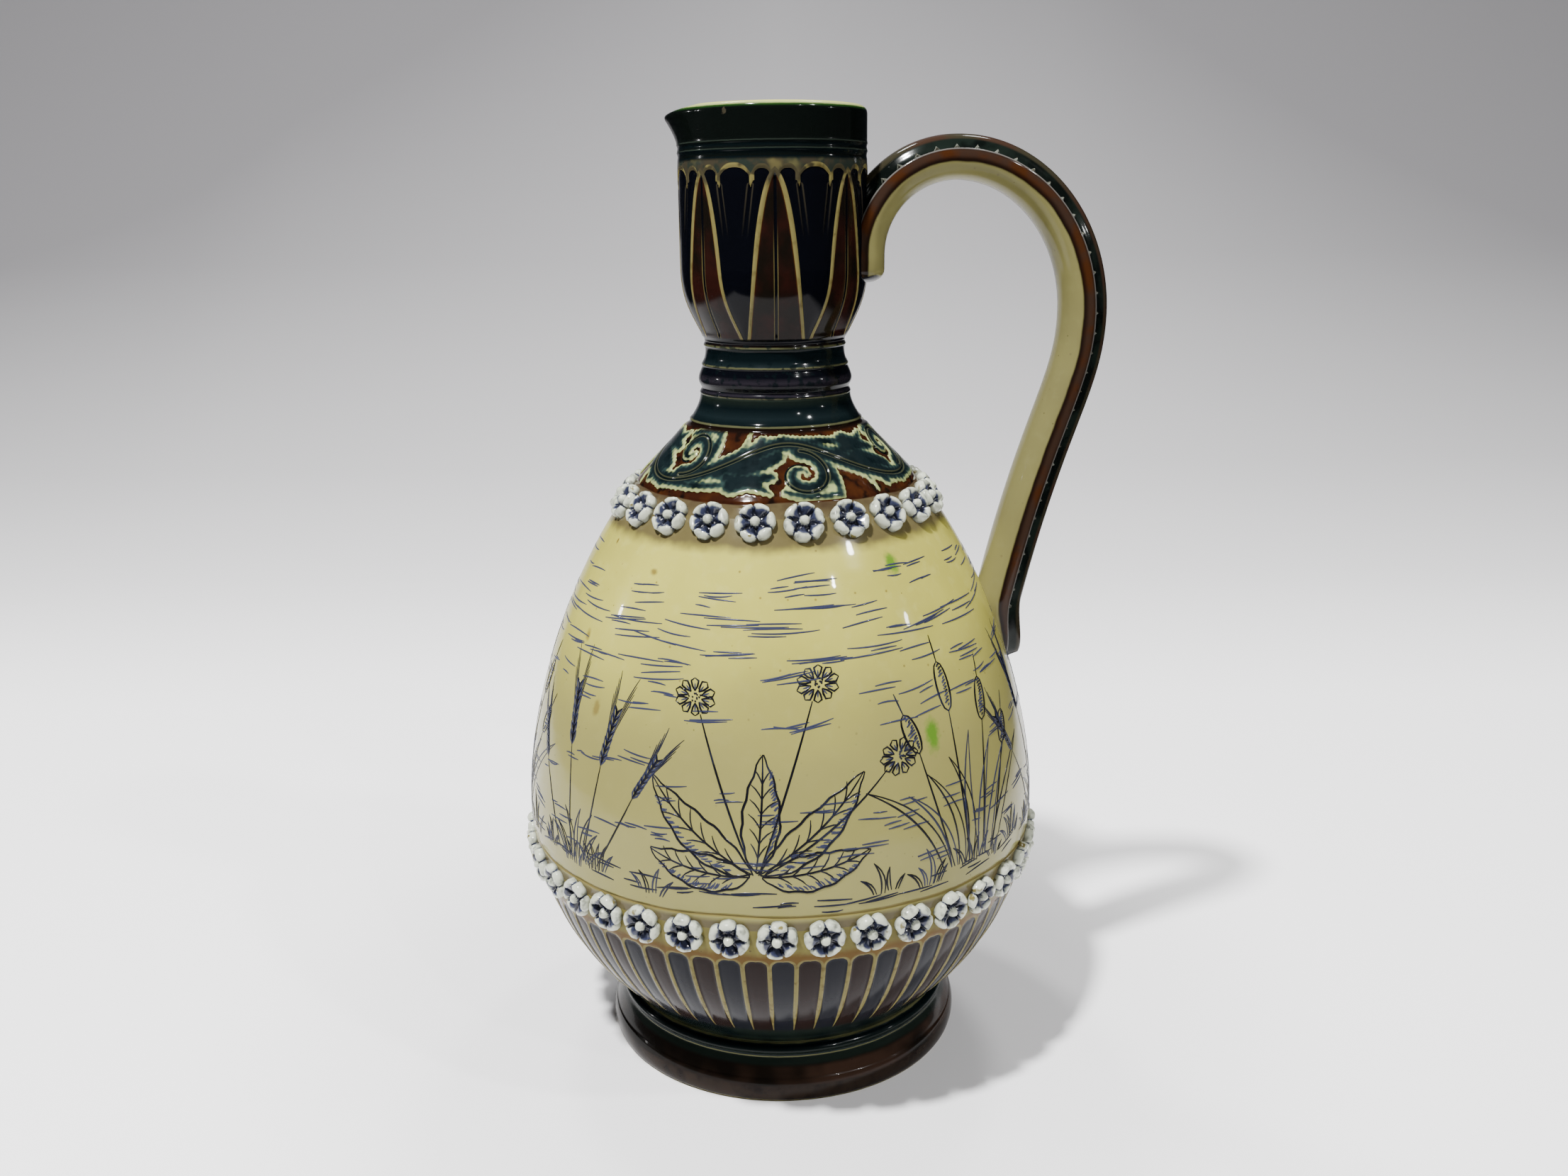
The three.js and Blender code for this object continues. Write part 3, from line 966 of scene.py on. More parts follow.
class CollarGlaze(Glaze):
    """The collar: brown darts with cream borders, blue-black leaves and the dark rim."""

    def paint(self, graph: Graph) -> Socket:
        """Darts, leaves and borders by edge distance, then the rim's bands by height.

        Args:
            graph: The graph of the glaze's material.

        Returns:
            The colour's socket.
        """
        height = graph.height()
        dart, leaf, rib = graph.field("dart"), graph.field("leaf"), graph.field("rib")
        border = graph.mottle(2.6, 3.0, 0.5, 0.8, Tint.LINE_CREAM, Tint.LINE_WORN)
        worn = graph.times(graph.rise(height, 220.5, 223.0), graph.clouds(3.6, 2.0, 0.56, 0.44))
        border = graph.mix(graph.times(worn, 0.9), border, Tint.OLIVE)
        brown = graph.mottle(7.0, 3.0, 0.35, 0.75, Tint.DART_DARK, Tint.DART)
        brown = graph.mix(graph.rise(graph.sway(dart, 1.5, 0.15), 0.35, 0.0), brown, Tint.AMBER)
        flank = graph.times(graph.rise(rib, 0.6, 0.5), graph.rise(height, 214.0, 204.0))
        brown = graph.mix(graph.times(flank, 0.5), brown, Tint.LINE_CREAM)
        brown = graph.mix(graph.rise(rib, 0.42, 0.28), brown, Tint.BLUE_BLACK)
        color = graph.mix(graph.rise(dart, -0.06, 0.08), border, brown)
        crease = graph.field("crease")
        flank = graph.times(graph.rise(crease, 0.95, 0.7), graph.rise(crease, 0.4, 0.6))
        flank = graph.times(flank, graph.rise(height, 209.0, 221.0))
        blue = graph.mix(graph.times(flank, 0.7), Tint.BLUE_BLACK, Tint.OLIVE)
        strip = graph.mottle(3.5, 3.0, 0.42, 0.62, Tint.OLIVE, Tint.LINE_DIM)
        patch = graph.times(graph.clouds(6.0, 2.0, 0.54, 0.7), 0.5)
        strip = graph.mix(patch, strip, Tint.LINE_CREAM)
        strip = graph.mix(graph.rise(height, 227.0, 227.9), strip, Tint.TEAL_DEEP)
        above = graph.math("MAXIMUM", graph.rise(leaf, -1.15, -0.9), graph.rise(dart, -1.5, -1.3))
        above = graph.math("MAXIMUM", above, graph.rise(height, 224.0, 223.0))
        color = graph.mix(above, strip, color)
        color = graph.mix(graph.rise(leaf, -0.06, 0.08), color, blue)
        swayed = graph.sway(height, 2.0, 0.08)
        rim = graph.ramp(
            swayed,
            (228.2, Tint.RIM_BLACK), (229.5, Tint.TEAL_DEEP), (229.62, 229.78, Tint.LINE_DIM),
            (229.9, Tint.RIM_BLACK), (230.6, Tint.TEAL_DEEP), (231.3, Tint.RIM_BLACK),
            (231.42, 231.58, Tint.LINE_DIM), (231.7, 238.6, Tint.RIM_BLACK), (239.1, Tint.RIM_GREEN),
            (239.4, Tint.LEAF_EDGE), (240.0, Tint.CREAM_PALE),
        )
        chip_place = np.append(FORM.collar_radius * level_out(-28.0), 237.9)
        chip = graph.blot(chip_place, (0.6, 0.8), (1.1, 0.6), (0.8, 0.9))
        rim = graph.mix(chip, rim, Tint.OLIVE)
        color = graph.mix(graph.rise(swayed, 227.9, 228.2), color, rim)
        return graph.mix(graph.rise(height, 186.9, 186.3), color, Tint.BLUE_BLACK)


class HandleGlaze(Glaze):
    """The strap: cream inside, brown sides, pale ridges, teal channels, olive rib; painted shade and sheen.
    """

    def paint(self, graph: Graph) -> Socket:
        """Zones by how far out the point lies on the strap, and across it.

        Args:
            graph: The graph of the glaze's material.

        Returns:
            The colour's socket.
        """
        out = graph.field("out")
        across = graph.field("across")
        edge = graph.sway(graph.field("edge"), 7.0, 0.3)
        brown = graph.mottle(9.0, 3.0, 0.45, 0.65, Tint.UMBER, Tint.AMBER)
        # Painted sheen: the brown darkens towards both edges and stays lighter along its middle.
        dark = graph.math("MAXIMUM", graph.rise(edge, 1.6, 0.4), graph.rise(edge, 2.3, 3.3))
        brown = graph.mix(graph.times(dark, 0.85), brown, Tint.BROWN_DARK)
        # Painted shade: the inner face's cream is mostly a shaded copy of the cream.
        inside = graph.mix(0.8, cream(graph, 0.85, 0.5), Tint.PAINTED_SHADE_CREAM_HANDLE)
        color = graph.mix(graph.rise(edge, -0.25, 0.3), inside, brown)
        outer = graph.times(graph.rise(across, 0.91, 0.87), graph.rise(out, 0.3, 0.7))
        teal = graph.mottle(6.0, 3.0, 0.4, 0.65, Tint.RIM_BLACK, Tint.GREEN_BLACK)
        color = graph.mix(outer, color, teal)
        olive = graph.mottle(11.0, 2.0, 0.45, 0.65, Tint.RIB, Tint.UMBER)
        rib = graph.times(graph.rise(across, 0.5, 0.44), graph.rise(out, 2.4, 3.2))
        color = graph.mix(rib, color, olive)
        # The ridge's pale line is partly its own pale glaze and partly a painted reflection of the bright
        # room.
        ridge = graph.times(graph.rise(graph.field("ridge"), 0.2, 0.6), 0.95)
        color = graph.mix(ridge, color, Tint.LILAC_AND_PAINTED_SHEEN)
        drip = graph.blot((23.4, -6.4, 199.6), (2.6, 1.9), (1.15, 0.8), (1.2, 0.25))
        return graph.mix(drip, color, Tint.BLUE_GREY)


class RosetteGlaze(Glaze):
    """White slip with cobalt pooled round the bud and between the petals."""

    def paint(self, graph: Graph) -> Socket:
        """White to cobalt by how low the point lies."""
        pool = graph.sway(graph.field("pool"), 2.0, 0.16)
        white = graph.mottle(2.0, 3.0, 0.48, 0.78, Tint.WHITE_SLIP, Tint.SLIP_GREY)
        white = graph.mottle(3.0, 2.0, 0.66, 0.72, white, Tint.LINE_CREAM)
        blue = graph.mix(graph.rise(pool, 0.6, 0.95), Tint.COBALT, Tint.INK_BLUE)
        return graph.mix(graph.rise(pool, 0.1, 0.6), white, blue)


class InkGlaze(Glaze):
    """The pigment rubbed in the incised lines, under the clear glaze."""

    def paint(self, graph: Graph) -> Socket:
        """Indigo to black, paler where a line is thin."""
        ink = graph.mix(graph.rise(graph.field("ink"), 0.1, 0.7), Tint.INDIGO, Tint.INK_BLACK)
        return graph.mix(graph.times(graph.clouds(6.0, 2.0, 0.5, 0.8), 0.6), ink, Tint.COBALT)


class NickGlaze(Glaze):
    """The pale nicks across the handle's channels."""

    def paint(self, graph: Graph) -> Socket:
        """Grey-green over cream."""
        return graph.mottle(1.5, 3.0, 0.35, 0.7, Tint.SLIP_GREY, Tint.OLIVE)


def dress(piece: Piece, glaze: Glaze | None = None, lined: bool = False) -> Piece:
    """Gives a piece its glaze and lets it ride on the jug.

    Args:
        piece: The piece.
        glaze: Its glaze, unless its mesh has one.
        lined: Whether its inner faces have the inside's glaze.

    Returns:
        The piece.
    """
    if glaze:
        piece.data.materials.append(glaze.material())
    if lined:
        inside = bpy.data.materials.get("inside_glaze") or InsideGlaze("inside_glaze").material()
        piece.data.materials.append(inside)
    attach(piece, BODY)
    log.info("%s: %d faces", piece.name, len(piece.data.polygons))
    return piece


@dataclass
class Foot:
    """The turned foot: a flange, a sloping band, a bead between two pale lines, and the floor."""

    columns: int = 256
    floor_height: float = 12.0
    recess_radius: float = 37.5
    recess_depth: float = 3.0

    def section(self) -> Array:
        """Radius and height, from the middle of the underside to the middle of the floor."""
        under = [(0.0, self.recess_depth), (20.0, self.recess_depth), (self.recess_radius, self.recess_depth)]
        seat = [(39.0, 0.35), (39.5, 0.0), (46.0, 0.0)]
        flange = [(46.5, 0.1), (47.0, 0.6), (47.3, 1.6), (47.4, 3.0), (47.25, 4.6), (46.8, 5.9), (46.4, 6.4)]
        slope = [(45.9, 7.4), (44.9, 9.2), (44.1, 10.5)]
        bead = [(44.05, 10.9), (44.3, 11.25), (44.25, 11.6), (44.6, 12.2), (44.8, 12.9), (44.3, 13.6)]
        top = [(43.6, 13.95), (43.3, 14.2), (FORM.waist_radius, FORM.foot_height)]
        outside = through([*seat[1:], *flange, *slope, *bead, *top], 4)
        inner = FORM.waist_radius - FORM.seat_width
        floor = [(inner, FORM.foot_height), (30.0, self.floor_height), (15.0, self.floor_height)]
        return np.vstack([under, seat[:1], outside, floor, [(0.0, self.floor_height)]])

    def build(self) -> Piece:
        """Makes the foot and puts it in place of the plain one."""
        section = self.section()
        piece = Shell(section, self.columns, len(section), capped=True).build("foot_turned")
        dress(piece, FootGlaze("foot_glaze", shine=0.05, coat=0.1))
        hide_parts("foot")
        return piece


@dataclass
class Tongues:
    """The lower wall with its row of tongues between raised ribs."""

    count: int = 64
    steps_each: int = 16
    low: float = FORM.foot_height
    high: float = 58.0
    arch_top: float = 50.0
    arch_flatness: float = 0.72
    point: float = 21.5
    rib: float = 1.0
    relief: float = 0.34
    swell: float = 0.12
    swell_reach: float = 1.5
    fade: Pair = (56.0, 52.0)
    row_step: float = 0.75

    def edge_distance(self, turn: Array, height: Array) -> Array:
        """How far each point lies inside its tongue's edge.

        Args:
            turn: The columns' angles.
            height: The rows' heights.

        Returns:
            Millimetres inside the edge, below zero outside it.
        """
        cell = FULL_TURN / self.count
        offset = (turn / cell + 0.5) % 1.0 - 0.5
        width = np.radians(cell) * BODY_WALL.radius_at(height)
        aside = np.abs(offset) * width
        rib = self.rib * (0.12 + 0.88 * smooth(height, self.point, self.point + 11.0))
        half = (width - rib) / 2
        run = BODY_WALL.run_at(height)
        spring = BODY_WALL.run_at(self.arch_top) - half
        above = np.maximum(run - spring, 0.0) / self.arch_flatness
        arch = half - np.hypot(aside, above * (1 - (1 - self.arch_flatness) * aside / half))
        open_below = smooth(height, self.point, self.point - 1.2) * self.rib
        return np.where(run < spring, half - aside, arch) + open_below

    def build(self) -> Piece:
        """Makes the wall from the foot to the lower rosettes."""
        columns = self.count * self.steps_each
        turn = turns_of(columns)
        heights = BODY_WALL.rows(self.low, self.high, self.row_step)
        height = heights[:, None]
        edge = self.edge_distance(turn, height)
        band = smooth(height, self.point - 1.5, self.point + 4.0) * smooth(height, *self.fade)
        lift = self.relief * smooth(edge, 0.3, -0.25) * band
        lift = lift + self.swell * np.clip(edge, 0.0, self.swell_reach) / self.swell_reach * band
        odd = np.floor(turn / (FULL_TURN / self.count) + 0.5) % 2 + 0 * height
        inner = BODY_WALL.inset(np.linspace(self.high, self.low + FORM.body_wall, 9), FORM.body_wall)
        foot_seat = [(FORM.waist_radius - FORM.seat_width, FORM.foot_height)]
        section = np.vstack([BODY_WALL.section(heights), inner, foot_seat])
        shell = Shell(section, columns, len(heights), lift, {"tongue": edge, "odd": odd})
        glaze = TongueGlaze("tongue_glaze", roughness=0.16, shine=0.04, coat=0.08)
        return dress(shell.build("body_tongues"), glaze, lined=True)


@dataclass
class Belly:
    """The cream belly between the two rows of rosettes, with the scribed line above the lower row."""

    columns: int = 384
    low: float = 58.0
    high: float = 147.5
    scribe_height: float = 61.3
    scribe_depth: float = 0.3
    scribe_half: float = 0.28
    throwing_depth: float = 0.007
    throwing_pitch: float = 1.9
    throwing_sway: float = 0.6
    row_step: float = 0.9

    def heights(self) -> Array:
        """The rows' heights, close together by the scribed line."""
        fine = np.arange(self.scribe_height - 1.5, self.scribe_height + 1.5, 0.2)
        even = BODY_WALL.rows(self.low, self.high, self.row_step)
        return np.unique(np.round(np.concatenate([even, fine]), 3))

    def build(self) -> Piece:
        """Makes the belly's wall."""
        heights = self.heights()
        turn = turns_of(self.columns)
        height = heights[:, None]
        scribe = height - self.scribe_height - ripple(turn, 0.55, (3, 7, 12, 19), 1.3)
        lift = -self.scribe_depth * np.exp(-((scribe / self.scribe_half) ** 2))
        sway = self.throwing_sway * np.sin(np.radians(turn) * 2)
        lift = lift + self.throwing_depth * np.sin(height * self.throwing_pitch + sway)
        inner = BODY_WALL.inset(np.linspace(self.high, self.low, 12), FORM.body_wall)
        section = np.vstack([BODY_WALL.section(heights), inner])
        piece = Shell(section, self.columns, len(heights), lift, {"scribe": scribe}).build("body_belly")
        dress(piece, BellyGlaze("belly_glaze", shine=0.07, coat=0.25), lined=True)
        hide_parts("body")
        return piece


@dataclass(frozen=True)
class Stroke:
    """A tapered stroke of the scroll on the flat band: its bent line and half its width at both ends."""

    start: Pair
    bend: Pair
    end: Pair
    root: float
    tip: float

    def line(self) -> tuple[Array, Array]:
        """Its points and half widths."""
        points = bezier([self.start, self.bend, self.end], 7)
        return points, np.linspace(self.root, self.tip, len(points))


@dataclass
class Scroll:
    """The running leaf scroll: a wave with a spiral in each bay, its lobes and its incised veins.

    A bay is drawn flat, in millimetres, round the middle of its spiral. Every second bay is upside down.
    """

    bays: int = 6
    first_turn: float = 12.4
    middle: float = 158.05
    eye_drop: float = 2.3
    wave_height: float = 6.0
    crest_shift: float = -3.4
    reference: float = 29.5
    hardness: float = 2.5
    leaf_reach: tuple[float, ...] = (6.0, 4.9, 4.3, 2.6, 0.9, 0.6)
    leaf_half: tuple[float, ...] = (2.8, 2.3, 2.3, 1.7, 1.0, 0.9)
    vein_reach: tuple[float, ...] = (6.4, 5.6, 5.4, 4.3, 2.2)
    lobes: tuple[Stroke, ...] = (
        Stroke((-6.0, 7.6), (3.0, 9.6), (12.0, 8.3), 1.9, 1.5),
        Stroke((5.6, 1.0), (7.6, -3.0), (6.8, -7.0), 2.6, 0.9),
        Stroke((-1.5, -6.2), (2.5, -7.0), (6.6, -6.2), 1.2, 1.3),
        Stroke((0.5, -5.6), (-2.6, -6.4), (-4.4, -5.2), 1.2, 1.3),
        Stroke((10.5, 5.0), (15.6, 0.5), (16.6, -7.0), 2.4, 0.3),
        Stroke((14.5, 3.0), (18.6, 0.5), (20.5, -4.6), 2.8, 1.7),
        Stroke((18.0, 0.0), (23.0, -2.2), (26.5, -4.9), 2.6, 1.6),
        Stroke((13.0, 5.8), (18.0, 6.6), (23.2, 5.6), 2.2, 1.2),
        Stroke((-16.0, -3.2), (-11.0, -1.6), (-7.6, -0.8), 3.2, 1.6),
        Stroke((-14.5, 1.4), (-10.0, 2.6), (-6.4, 4.8), 3.2, 2.4),
        Stroke((-12.0, -2.5), (-9.6, -4.0), (-7.6, -5.6), 2.4, 0.7),
        Stroke((-9.0, 6.2), (-7.4, 8.4), (-7.6, 9.6), 1.6, 0.8),
    )

    def spiral(self, reaches: tuple[float, ...], halves: tuple[float, ...]) -> tuple[Array, Array]:
        """A spiral line round the bay's middle, clockwise from the top.

        Args:
            reaches: How far the line is from the middle after each quarter turn.
            halves: Half its width there.

        Returns:
            Its points and half widths.
        """
        quarters = np.arange(len(reaches))
        quarter = np.linspace(0.0, quarters[-1], 8 * len(reaches))
        reach = through([(q, r) for q, r in zip(quarters, reaches)], 12)
        reach = np.interp(quarter, reach[:, 0], reach[:, 1])
        angle = np.radians(90.0 * (1 - quarter))
        line = np.stack([reach * np.cos(angle), reach * np.sin(angle)], axis=1)
        return line, np.interp(quarter, quarters, halves)

    def wave(self) -> tuple[Array, Array]:
        """The stem's line from the middle of one bay to the middle of the next."""
        bay = np.radians(FULL_TURN / self.bays) * self.reference
        across = np.linspace(self.crest_shift, self.crest_shift + bay, 30)
        phase = (across - self.crest_shift) / bay * math.pi
        line = np.stack([across, self.eye_drop + self.wave_height * np.cos(phase)], axis=1)
        return line, np.interp(phase, [0.0, math.pi / 2, math.pi], [2.2, 3.0, 2.2])

    def strokes(self) -> list[tuple[Array, Array]]:
        """All strokes that fill one bay."""
        lobes = [lobe.line() for lobe in self.lobes]
        return [self.spiral(self.leaf_reach, self.leaf_half), self.wave(), *lobes]

    def fields(self, turn: Array, height: Array) -> tuple[Array, Array]:
        """How far points lie inside the leaves' edge, and how far from an incised vein.

        Args:
            turn: The columns' angles.
            height: The rows' heights.

        Returns:
            Edge distance and vein distance in millimetres, as rows by columns.
        """
        bay = FULL_TURN / self.bays
        width = math.radians(bay) * self.reference
        turn, height = np.broadcast_arrays(turn - self.first_turn, height)
        number = np.round(turn / bay)
        across = np.radians(turn - number * bay) * self.reference
        up = BODY_WALL.run_at(height) - BODY_WALL.run_at(self.middle)
        up = np.where(number % 2 == 0, up, -up)
        squeeze = BODY_WALL.radius_at(height) / self.reference
        leaf = np.full(up.shape, -FAR_FROM_EDGE)
        vein = np.full(up.shape, FAR_FROM_EDGE)
        veins = [self.spiral(self.vein_reach, self.vein_reach), self.wave()]
        for shift, flip in ((-1, -1), (0, 1), (1, -1)):
            here, there = across - shift * width, up * flip + self.eye_drop
            for line, half in self.strokes():
                edge = edge_of(here, there, squeeze, line, half)
                leaf = np.logaddexp(self.hardness * leaf, self.hardness * edge) / self.hardness
            for line, half in veins:
                vein = np.minimum(vein, -edge_of(here, there, squeeze, line, 0 * half))
        return leaf, vein


def edge_of(x: Array, y: Array, squeeze: Array, line: Array, half: Array) -> Array:
    """How far points lie inside a tapered stroke's edge, below zero outside it.

    Args:
        x: The points' places across.
        y: Their places up.
        squeeze: How much each row is narrower than the drawing.
        line: The stroke's line.
        half: Half its width at each point of the line.

    Returns:
        The distance inside the edge at each point.
    """
    best = np.full(x.shape, -FAR_FROM_EDGE)
    for (ax, ay), (bx, by), wide, narrow in zip(line, line[1:], half, half[1:]):
        step_x, step_y = (bx - ax) * squeeze, by - ay
        off_x, off_y = (x - ax) * squeeze, y - ay
        share = np.clip((off_x * step_x + off_y * step_y) / (step_x**2 + step_y**2), 0.0, 1.0)
        away = np.hypot(off_x - share * step_x, off_y - share * step_y)
        best = np.maximum(best, wide + share * (narrow - wide) - away)
    return best


@dataclass
class Shoulder:
    """The shoulder with its carved scroll, from behind the upper rosettes up to the neck."""

    columns: int = 800
    low: float = 147.5
    high: float = FORM.neck_base
    border_height: float = 150.6
    leaf_relief: float = 0.4
    raggedness: float = 0.22
    vein_depth: float = 0.36
    border_depth: float = 0.22
    line_half: float = 0.3
    carved_from: Pair = (150.8, 151.8)
    carved_to: Pair = (165.2, 164.4)
    row_step: float = 0.3
    lines: tuple[TurnedLine, ...] = (TurnedLine(166.2, 0.22, 0.3), TurnedLine(165.3, -0.25, 0.4))

    def build(self) -> Piece:
        """Makes the shoulder's wall."""
        wall = Outline(FORM.body_points(), self.lines)
        heights = wall.rows(self.low, self.high, self.row_step)
        turn = turns_of(self.columns)
        height = heights[:, None]
        leaf, vein = Scroll().fields(turn, height)
        across = np.radians(turn) * Scroll.reference
        rough = np.sin(across * 3.1 + height * 2.3) * np.sin(height * 3.7 - across * 1.3)
        leaf = leaf + self.raggedness * rough
        zone = smooth(height, *self.carved_from) * smooth(height, *self.carved_to)
        leaf = np.where(zone > 0, leaf, -FAR_FROM_EDGE)
        border = height - self.border_height - ripple(turn, 0.35, (5, 9, 16), 0.4)
        lift = self.leaf_relief * smooth(leaf, -0.25, 0.35) * zone
        incised = self.vein_depth * np.exp(-((vein / self.line_half) ** 2))
        lift = lift - incised * zone * smooth(leaf, -0.6, 0.2)
        lift = lift - self.border_depth * np.exp(-((border / self.line_half) ** 2))
        vein = np.where((zone > 0.5) & (leaf > -0.5), vein, FAR_FROM_EDGE)
        inner = wall.inset(np.linspace(self.high - 0.5, self.low, 10), FORM.body_wall)
        section = np.vstack([wall.section(heights), [(FORM.throat_radius, self.high)], inner])
        fields = {"leaf": leaf, "vein": vein, "border": border}
        piece = Shell(section, self.columns, len(heights), lift, fields).build("body_shoulder")
        glaze = ShoulderGlaze("shoulder_glaze", roughness=0.12, shine=0.025, coat=0.16)
        return dress(piece, glaze, lined=True)


@dataclass
class Neck:
    """The neck ring: a thin ridge, a round bead, a line and a cove."""

    columns: int = 320
    row_step: float = 0.16

    def section(self) -> Array:
        """The outside of the neck."""
        rises = [
            (FORM.neck_root_radius, 0.0), (18.95, 0.35), (18.75, 0.8), (18.45, 1.35), (18.7, 2.0),
            (19.05, 2.7), (19.2, 3.5), (19.1, 4.3), (18.8, 5.2), (18.4, 6.1), (18.2, 6.6), (18.35, 7.2),
            (18.1, 7.7), (17.65, 8.6), (17.4, 9.8), (17.35, 10.8), (17.5, 11.5), (17.75, 11.85),
            (17.6, 12.3), (17.4, 12.7),
        ]
        points = [(radius, FORM.neck_base + rise) for radius, rise in rises]
        return through([*points, (FORM.neck_top_radius, FORM.collar_base)], 5)

    def build(self) -> Piece:
        """Makes the neck and puts it in place of the plain one."""
        outside = self.section()
        inside = [(FORM.throat_radius, FORM.collar_base), (FORM.throat_radius, FORM.neck_base)]
        section = np.vstack([outside, inside])
        piece = Shell(section, self.columns, len(outside)).build("neck_turned")
        dress(piece, NeckGlaze("neck_glaze", roughness=0.14, shine=0.05, coat=0.12), lined=True)
        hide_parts("neck")
        return piece


@dataclass
class Collar:
    """The tall collar: carved darts and leaves, turned lines, the rounded rim and the pulled lip."""

    columns: int = 540
    darts: int = 7
    first_dart: float = 1.3
    drift: float = 4.32
    dart_tip: float = 224.3
    dart_swell: float = 1.04
    dart_point: float = 2.2
    border: float = 1.15
    lobe_top: float = 225.6
    notch: float = 222.0
    main_half: float = 3.7
    side_half: float = 1.75
    side_share: float = 0.345
    carved_from: Pair = (186.6, 188.0)
    carved_to: Pair = (227.4, 226.2)
    soft_edge: Pair = (-0.2, 0.4)
    border_rise: float = 0.28
    pillow_rise: float = 0.26
    pillow_reach: float = 0.9
    crease_from: Pair = (207.0, 215.0)
    crease_depth: float = 0.32
    crease_half: float = 0.5
    rib_depth: float = 0.3
    rib_half: float = 0.28
    ground_depth: float = 0.2
    row_step: float = 0.36
    lip_reach: float = 3.6
    lip_height: float = 9.0
    lip_spread: float = 40.0
    lip_growth: float = 1.5
    lip_nose: float = 0.06
    lip_dip: float = 1.5
    lines: tuple[TurnedLine, ...] = (
        TurnedLine(228.6, -0.15, 0.5),
        TurnedLine(229.7, 0.16, 0.22),
        TurnedLine(230.6, -0.12, 0.4),
        TurnedLine(231.5, 0.16, 0.22),
        TurnedLine(185.9, -0.2, 0.35),
    )

    def dart_turn(self, number: Array) -> Array:
        """The angle of a dart's middle. The bays widen a little towards the back."""
        share = number / self.darts
        return self.first_dart + FULL_TURN * share - self.drift * np.sin(2 * np.pi * share)

    def fields(self, turn: Array, height: Array, radius: Array) -> dict[str, Array]:
        """The pattern's distances at each point, in millimetres.

        Args:
            turn: The columns' angles.
            height: The rows' heights.
            radius: The rows' radii.

        Returns:
            dart and leaf, inside each one's edge; rib, from a dart's middle; crease, from a leaf's creases.
        """
        numbers = np.arange(-1, self.darts + 2)
        middles = self.dart_turn(numbers)
        to_mm = np.radians(1.0) * radius
        nearest = np.abs(turn[..., None] - middles).argmin(axis=-1)
        aside = np.abs(turn - middles[nearest]) * to_mm
        drop = np.maximum(self.dart_tip - height, 0.0)
        half = self.dart_swell * drop / np.sqrt(drop + self.dart_point)
        dart = np.where(height < self.dart_tip, half - aside, self.dart_tip - height - aside)
        left = np.searchsorted(middles, turn, side="right") - 1
        bay = middles[left + 1] - middles[left]
        off = (turn - (middles[left] + middles[left + 1]) / 2) * to_mm
        side = self.side_share * bay * np.radians(1.0) * FORM.collar_radius
        lobes = np.maximum(
            self.lobe(off, height, self.main_half, self.lobe_top),
            self.lobe(np.abs(off) - side, height, self.side_half, self.lobe_top - 0.3),
        )
        wedge = np.abs(np.abs(off) - self.main_half - 0.25)
        lobes = np.maximum(lobes, self.notch - 1.0 - height + np.minimum(3.0 * wedge, 1.6))
        leaf = np.minimum(aside - half - self.border * (0.68 + 0.32 * smooth(height, 192.0, 214.0)), lobes)
        between = np.maximum(self.main_half + 0.25 - 0.13 * np.maximum(self.notch - height, 0.0), 0.6)
        crease = np.abs(np.abs(off) - np.minimum(between, side)) + 3.0 * np.maximum(height - self.notch, 0.0)
        return {"dart": dart, "leaf": leaf, "rib": aside + 0 * height, "crease": crease}

    @staticmethod
    def lobe(off: Array, height: Array, half: float, top: float) -> Array:
        """How far points lie inside one round-topped lobe, which widens downwards.

        Args:
            off: How far they are from its middle, to the side.
            height: Their heights.
            half: Half its width near its top.
            top: The height of its top.

        Returns:
            The distance inside its edge.
        """
        down = top - height
        wide = half + 0.16 * np.maximum(down - 3.5, 0.0)
        share = np.clip(np.abs(off) / half, 0.0, 1.5)
        return np.minimum(wide - np.abs(off), down - 0.5 * half * share**2.6)

    def relief(self, fields: dict[str, Array], height: Array) -> Array:
        """How far the carving stands off the turned wall.

        Args:
            fields: The pattern's distances.
            height: The rows' heights.

        Returns:
            The lift at each point.
        """
        dart, leaf, rib, crease = (fields[name] for name in ("dart", "leaf", "rib", "crease"))
        zone = smooth(height, *self.carved_from) * smooth(height, *self.carved_to)
        border = smooth(np.minimum(-dart, -leaf), *self.soft_edge)
        pillow = 1 - np.exp(-np.maximum(leaf, 0.0) / self.pillow_reach)
        lift = self.border_rise * border + self.pillow_rise * pillow
        cut = smooth(leaf, *self.soft_edge) * smooth(height, *self.crease_from)
        lift = lift - self.crease_depth * np.exp(-((crease / self.crease_half) ** 2)) * cut
        lift = lift - self.rib_depth * np.exp(-((rib / self.rib_half) ** 2)) * smooth(dart, 0.0, 0.6)
        return (lift - self.ground_depth) * zone

    def pull_lip(self, grid: Array) -> Array:
        """Lifts the rim out into the pouring lip.

        Args:
            grid: The collar's corners.

        Returns:
            The corners with the lip.
        """
        base = FORM.rim_height - self.lip_height
        radius = np.maximum(np.hypot(grid[..., 0], grid[..., 1]), 1e-6)
        aside = np.degrees(np.arctan2(grid[..., 1], -grid[..., 0])) / self.lip_spread
        up = np.clip((grid[..., 2] - base) / self.lip_height, 0.0, None)
        pinch = np.clip(1 - np.sqrt(aside**2 + self.lip_nose**2), 0.0, None) / (1 - self.lip_nose)
        push = self.lip_reach * up**self.lip_growth * pinch**1.1
        scale = (1 + push / radius)[..., None]
        moved = grid * np.concatenate([scale, scale, np.ones_like(scale)], axis=-1)
        moved[..., 2] -= self.lip_dip * up * pinch
        return moved

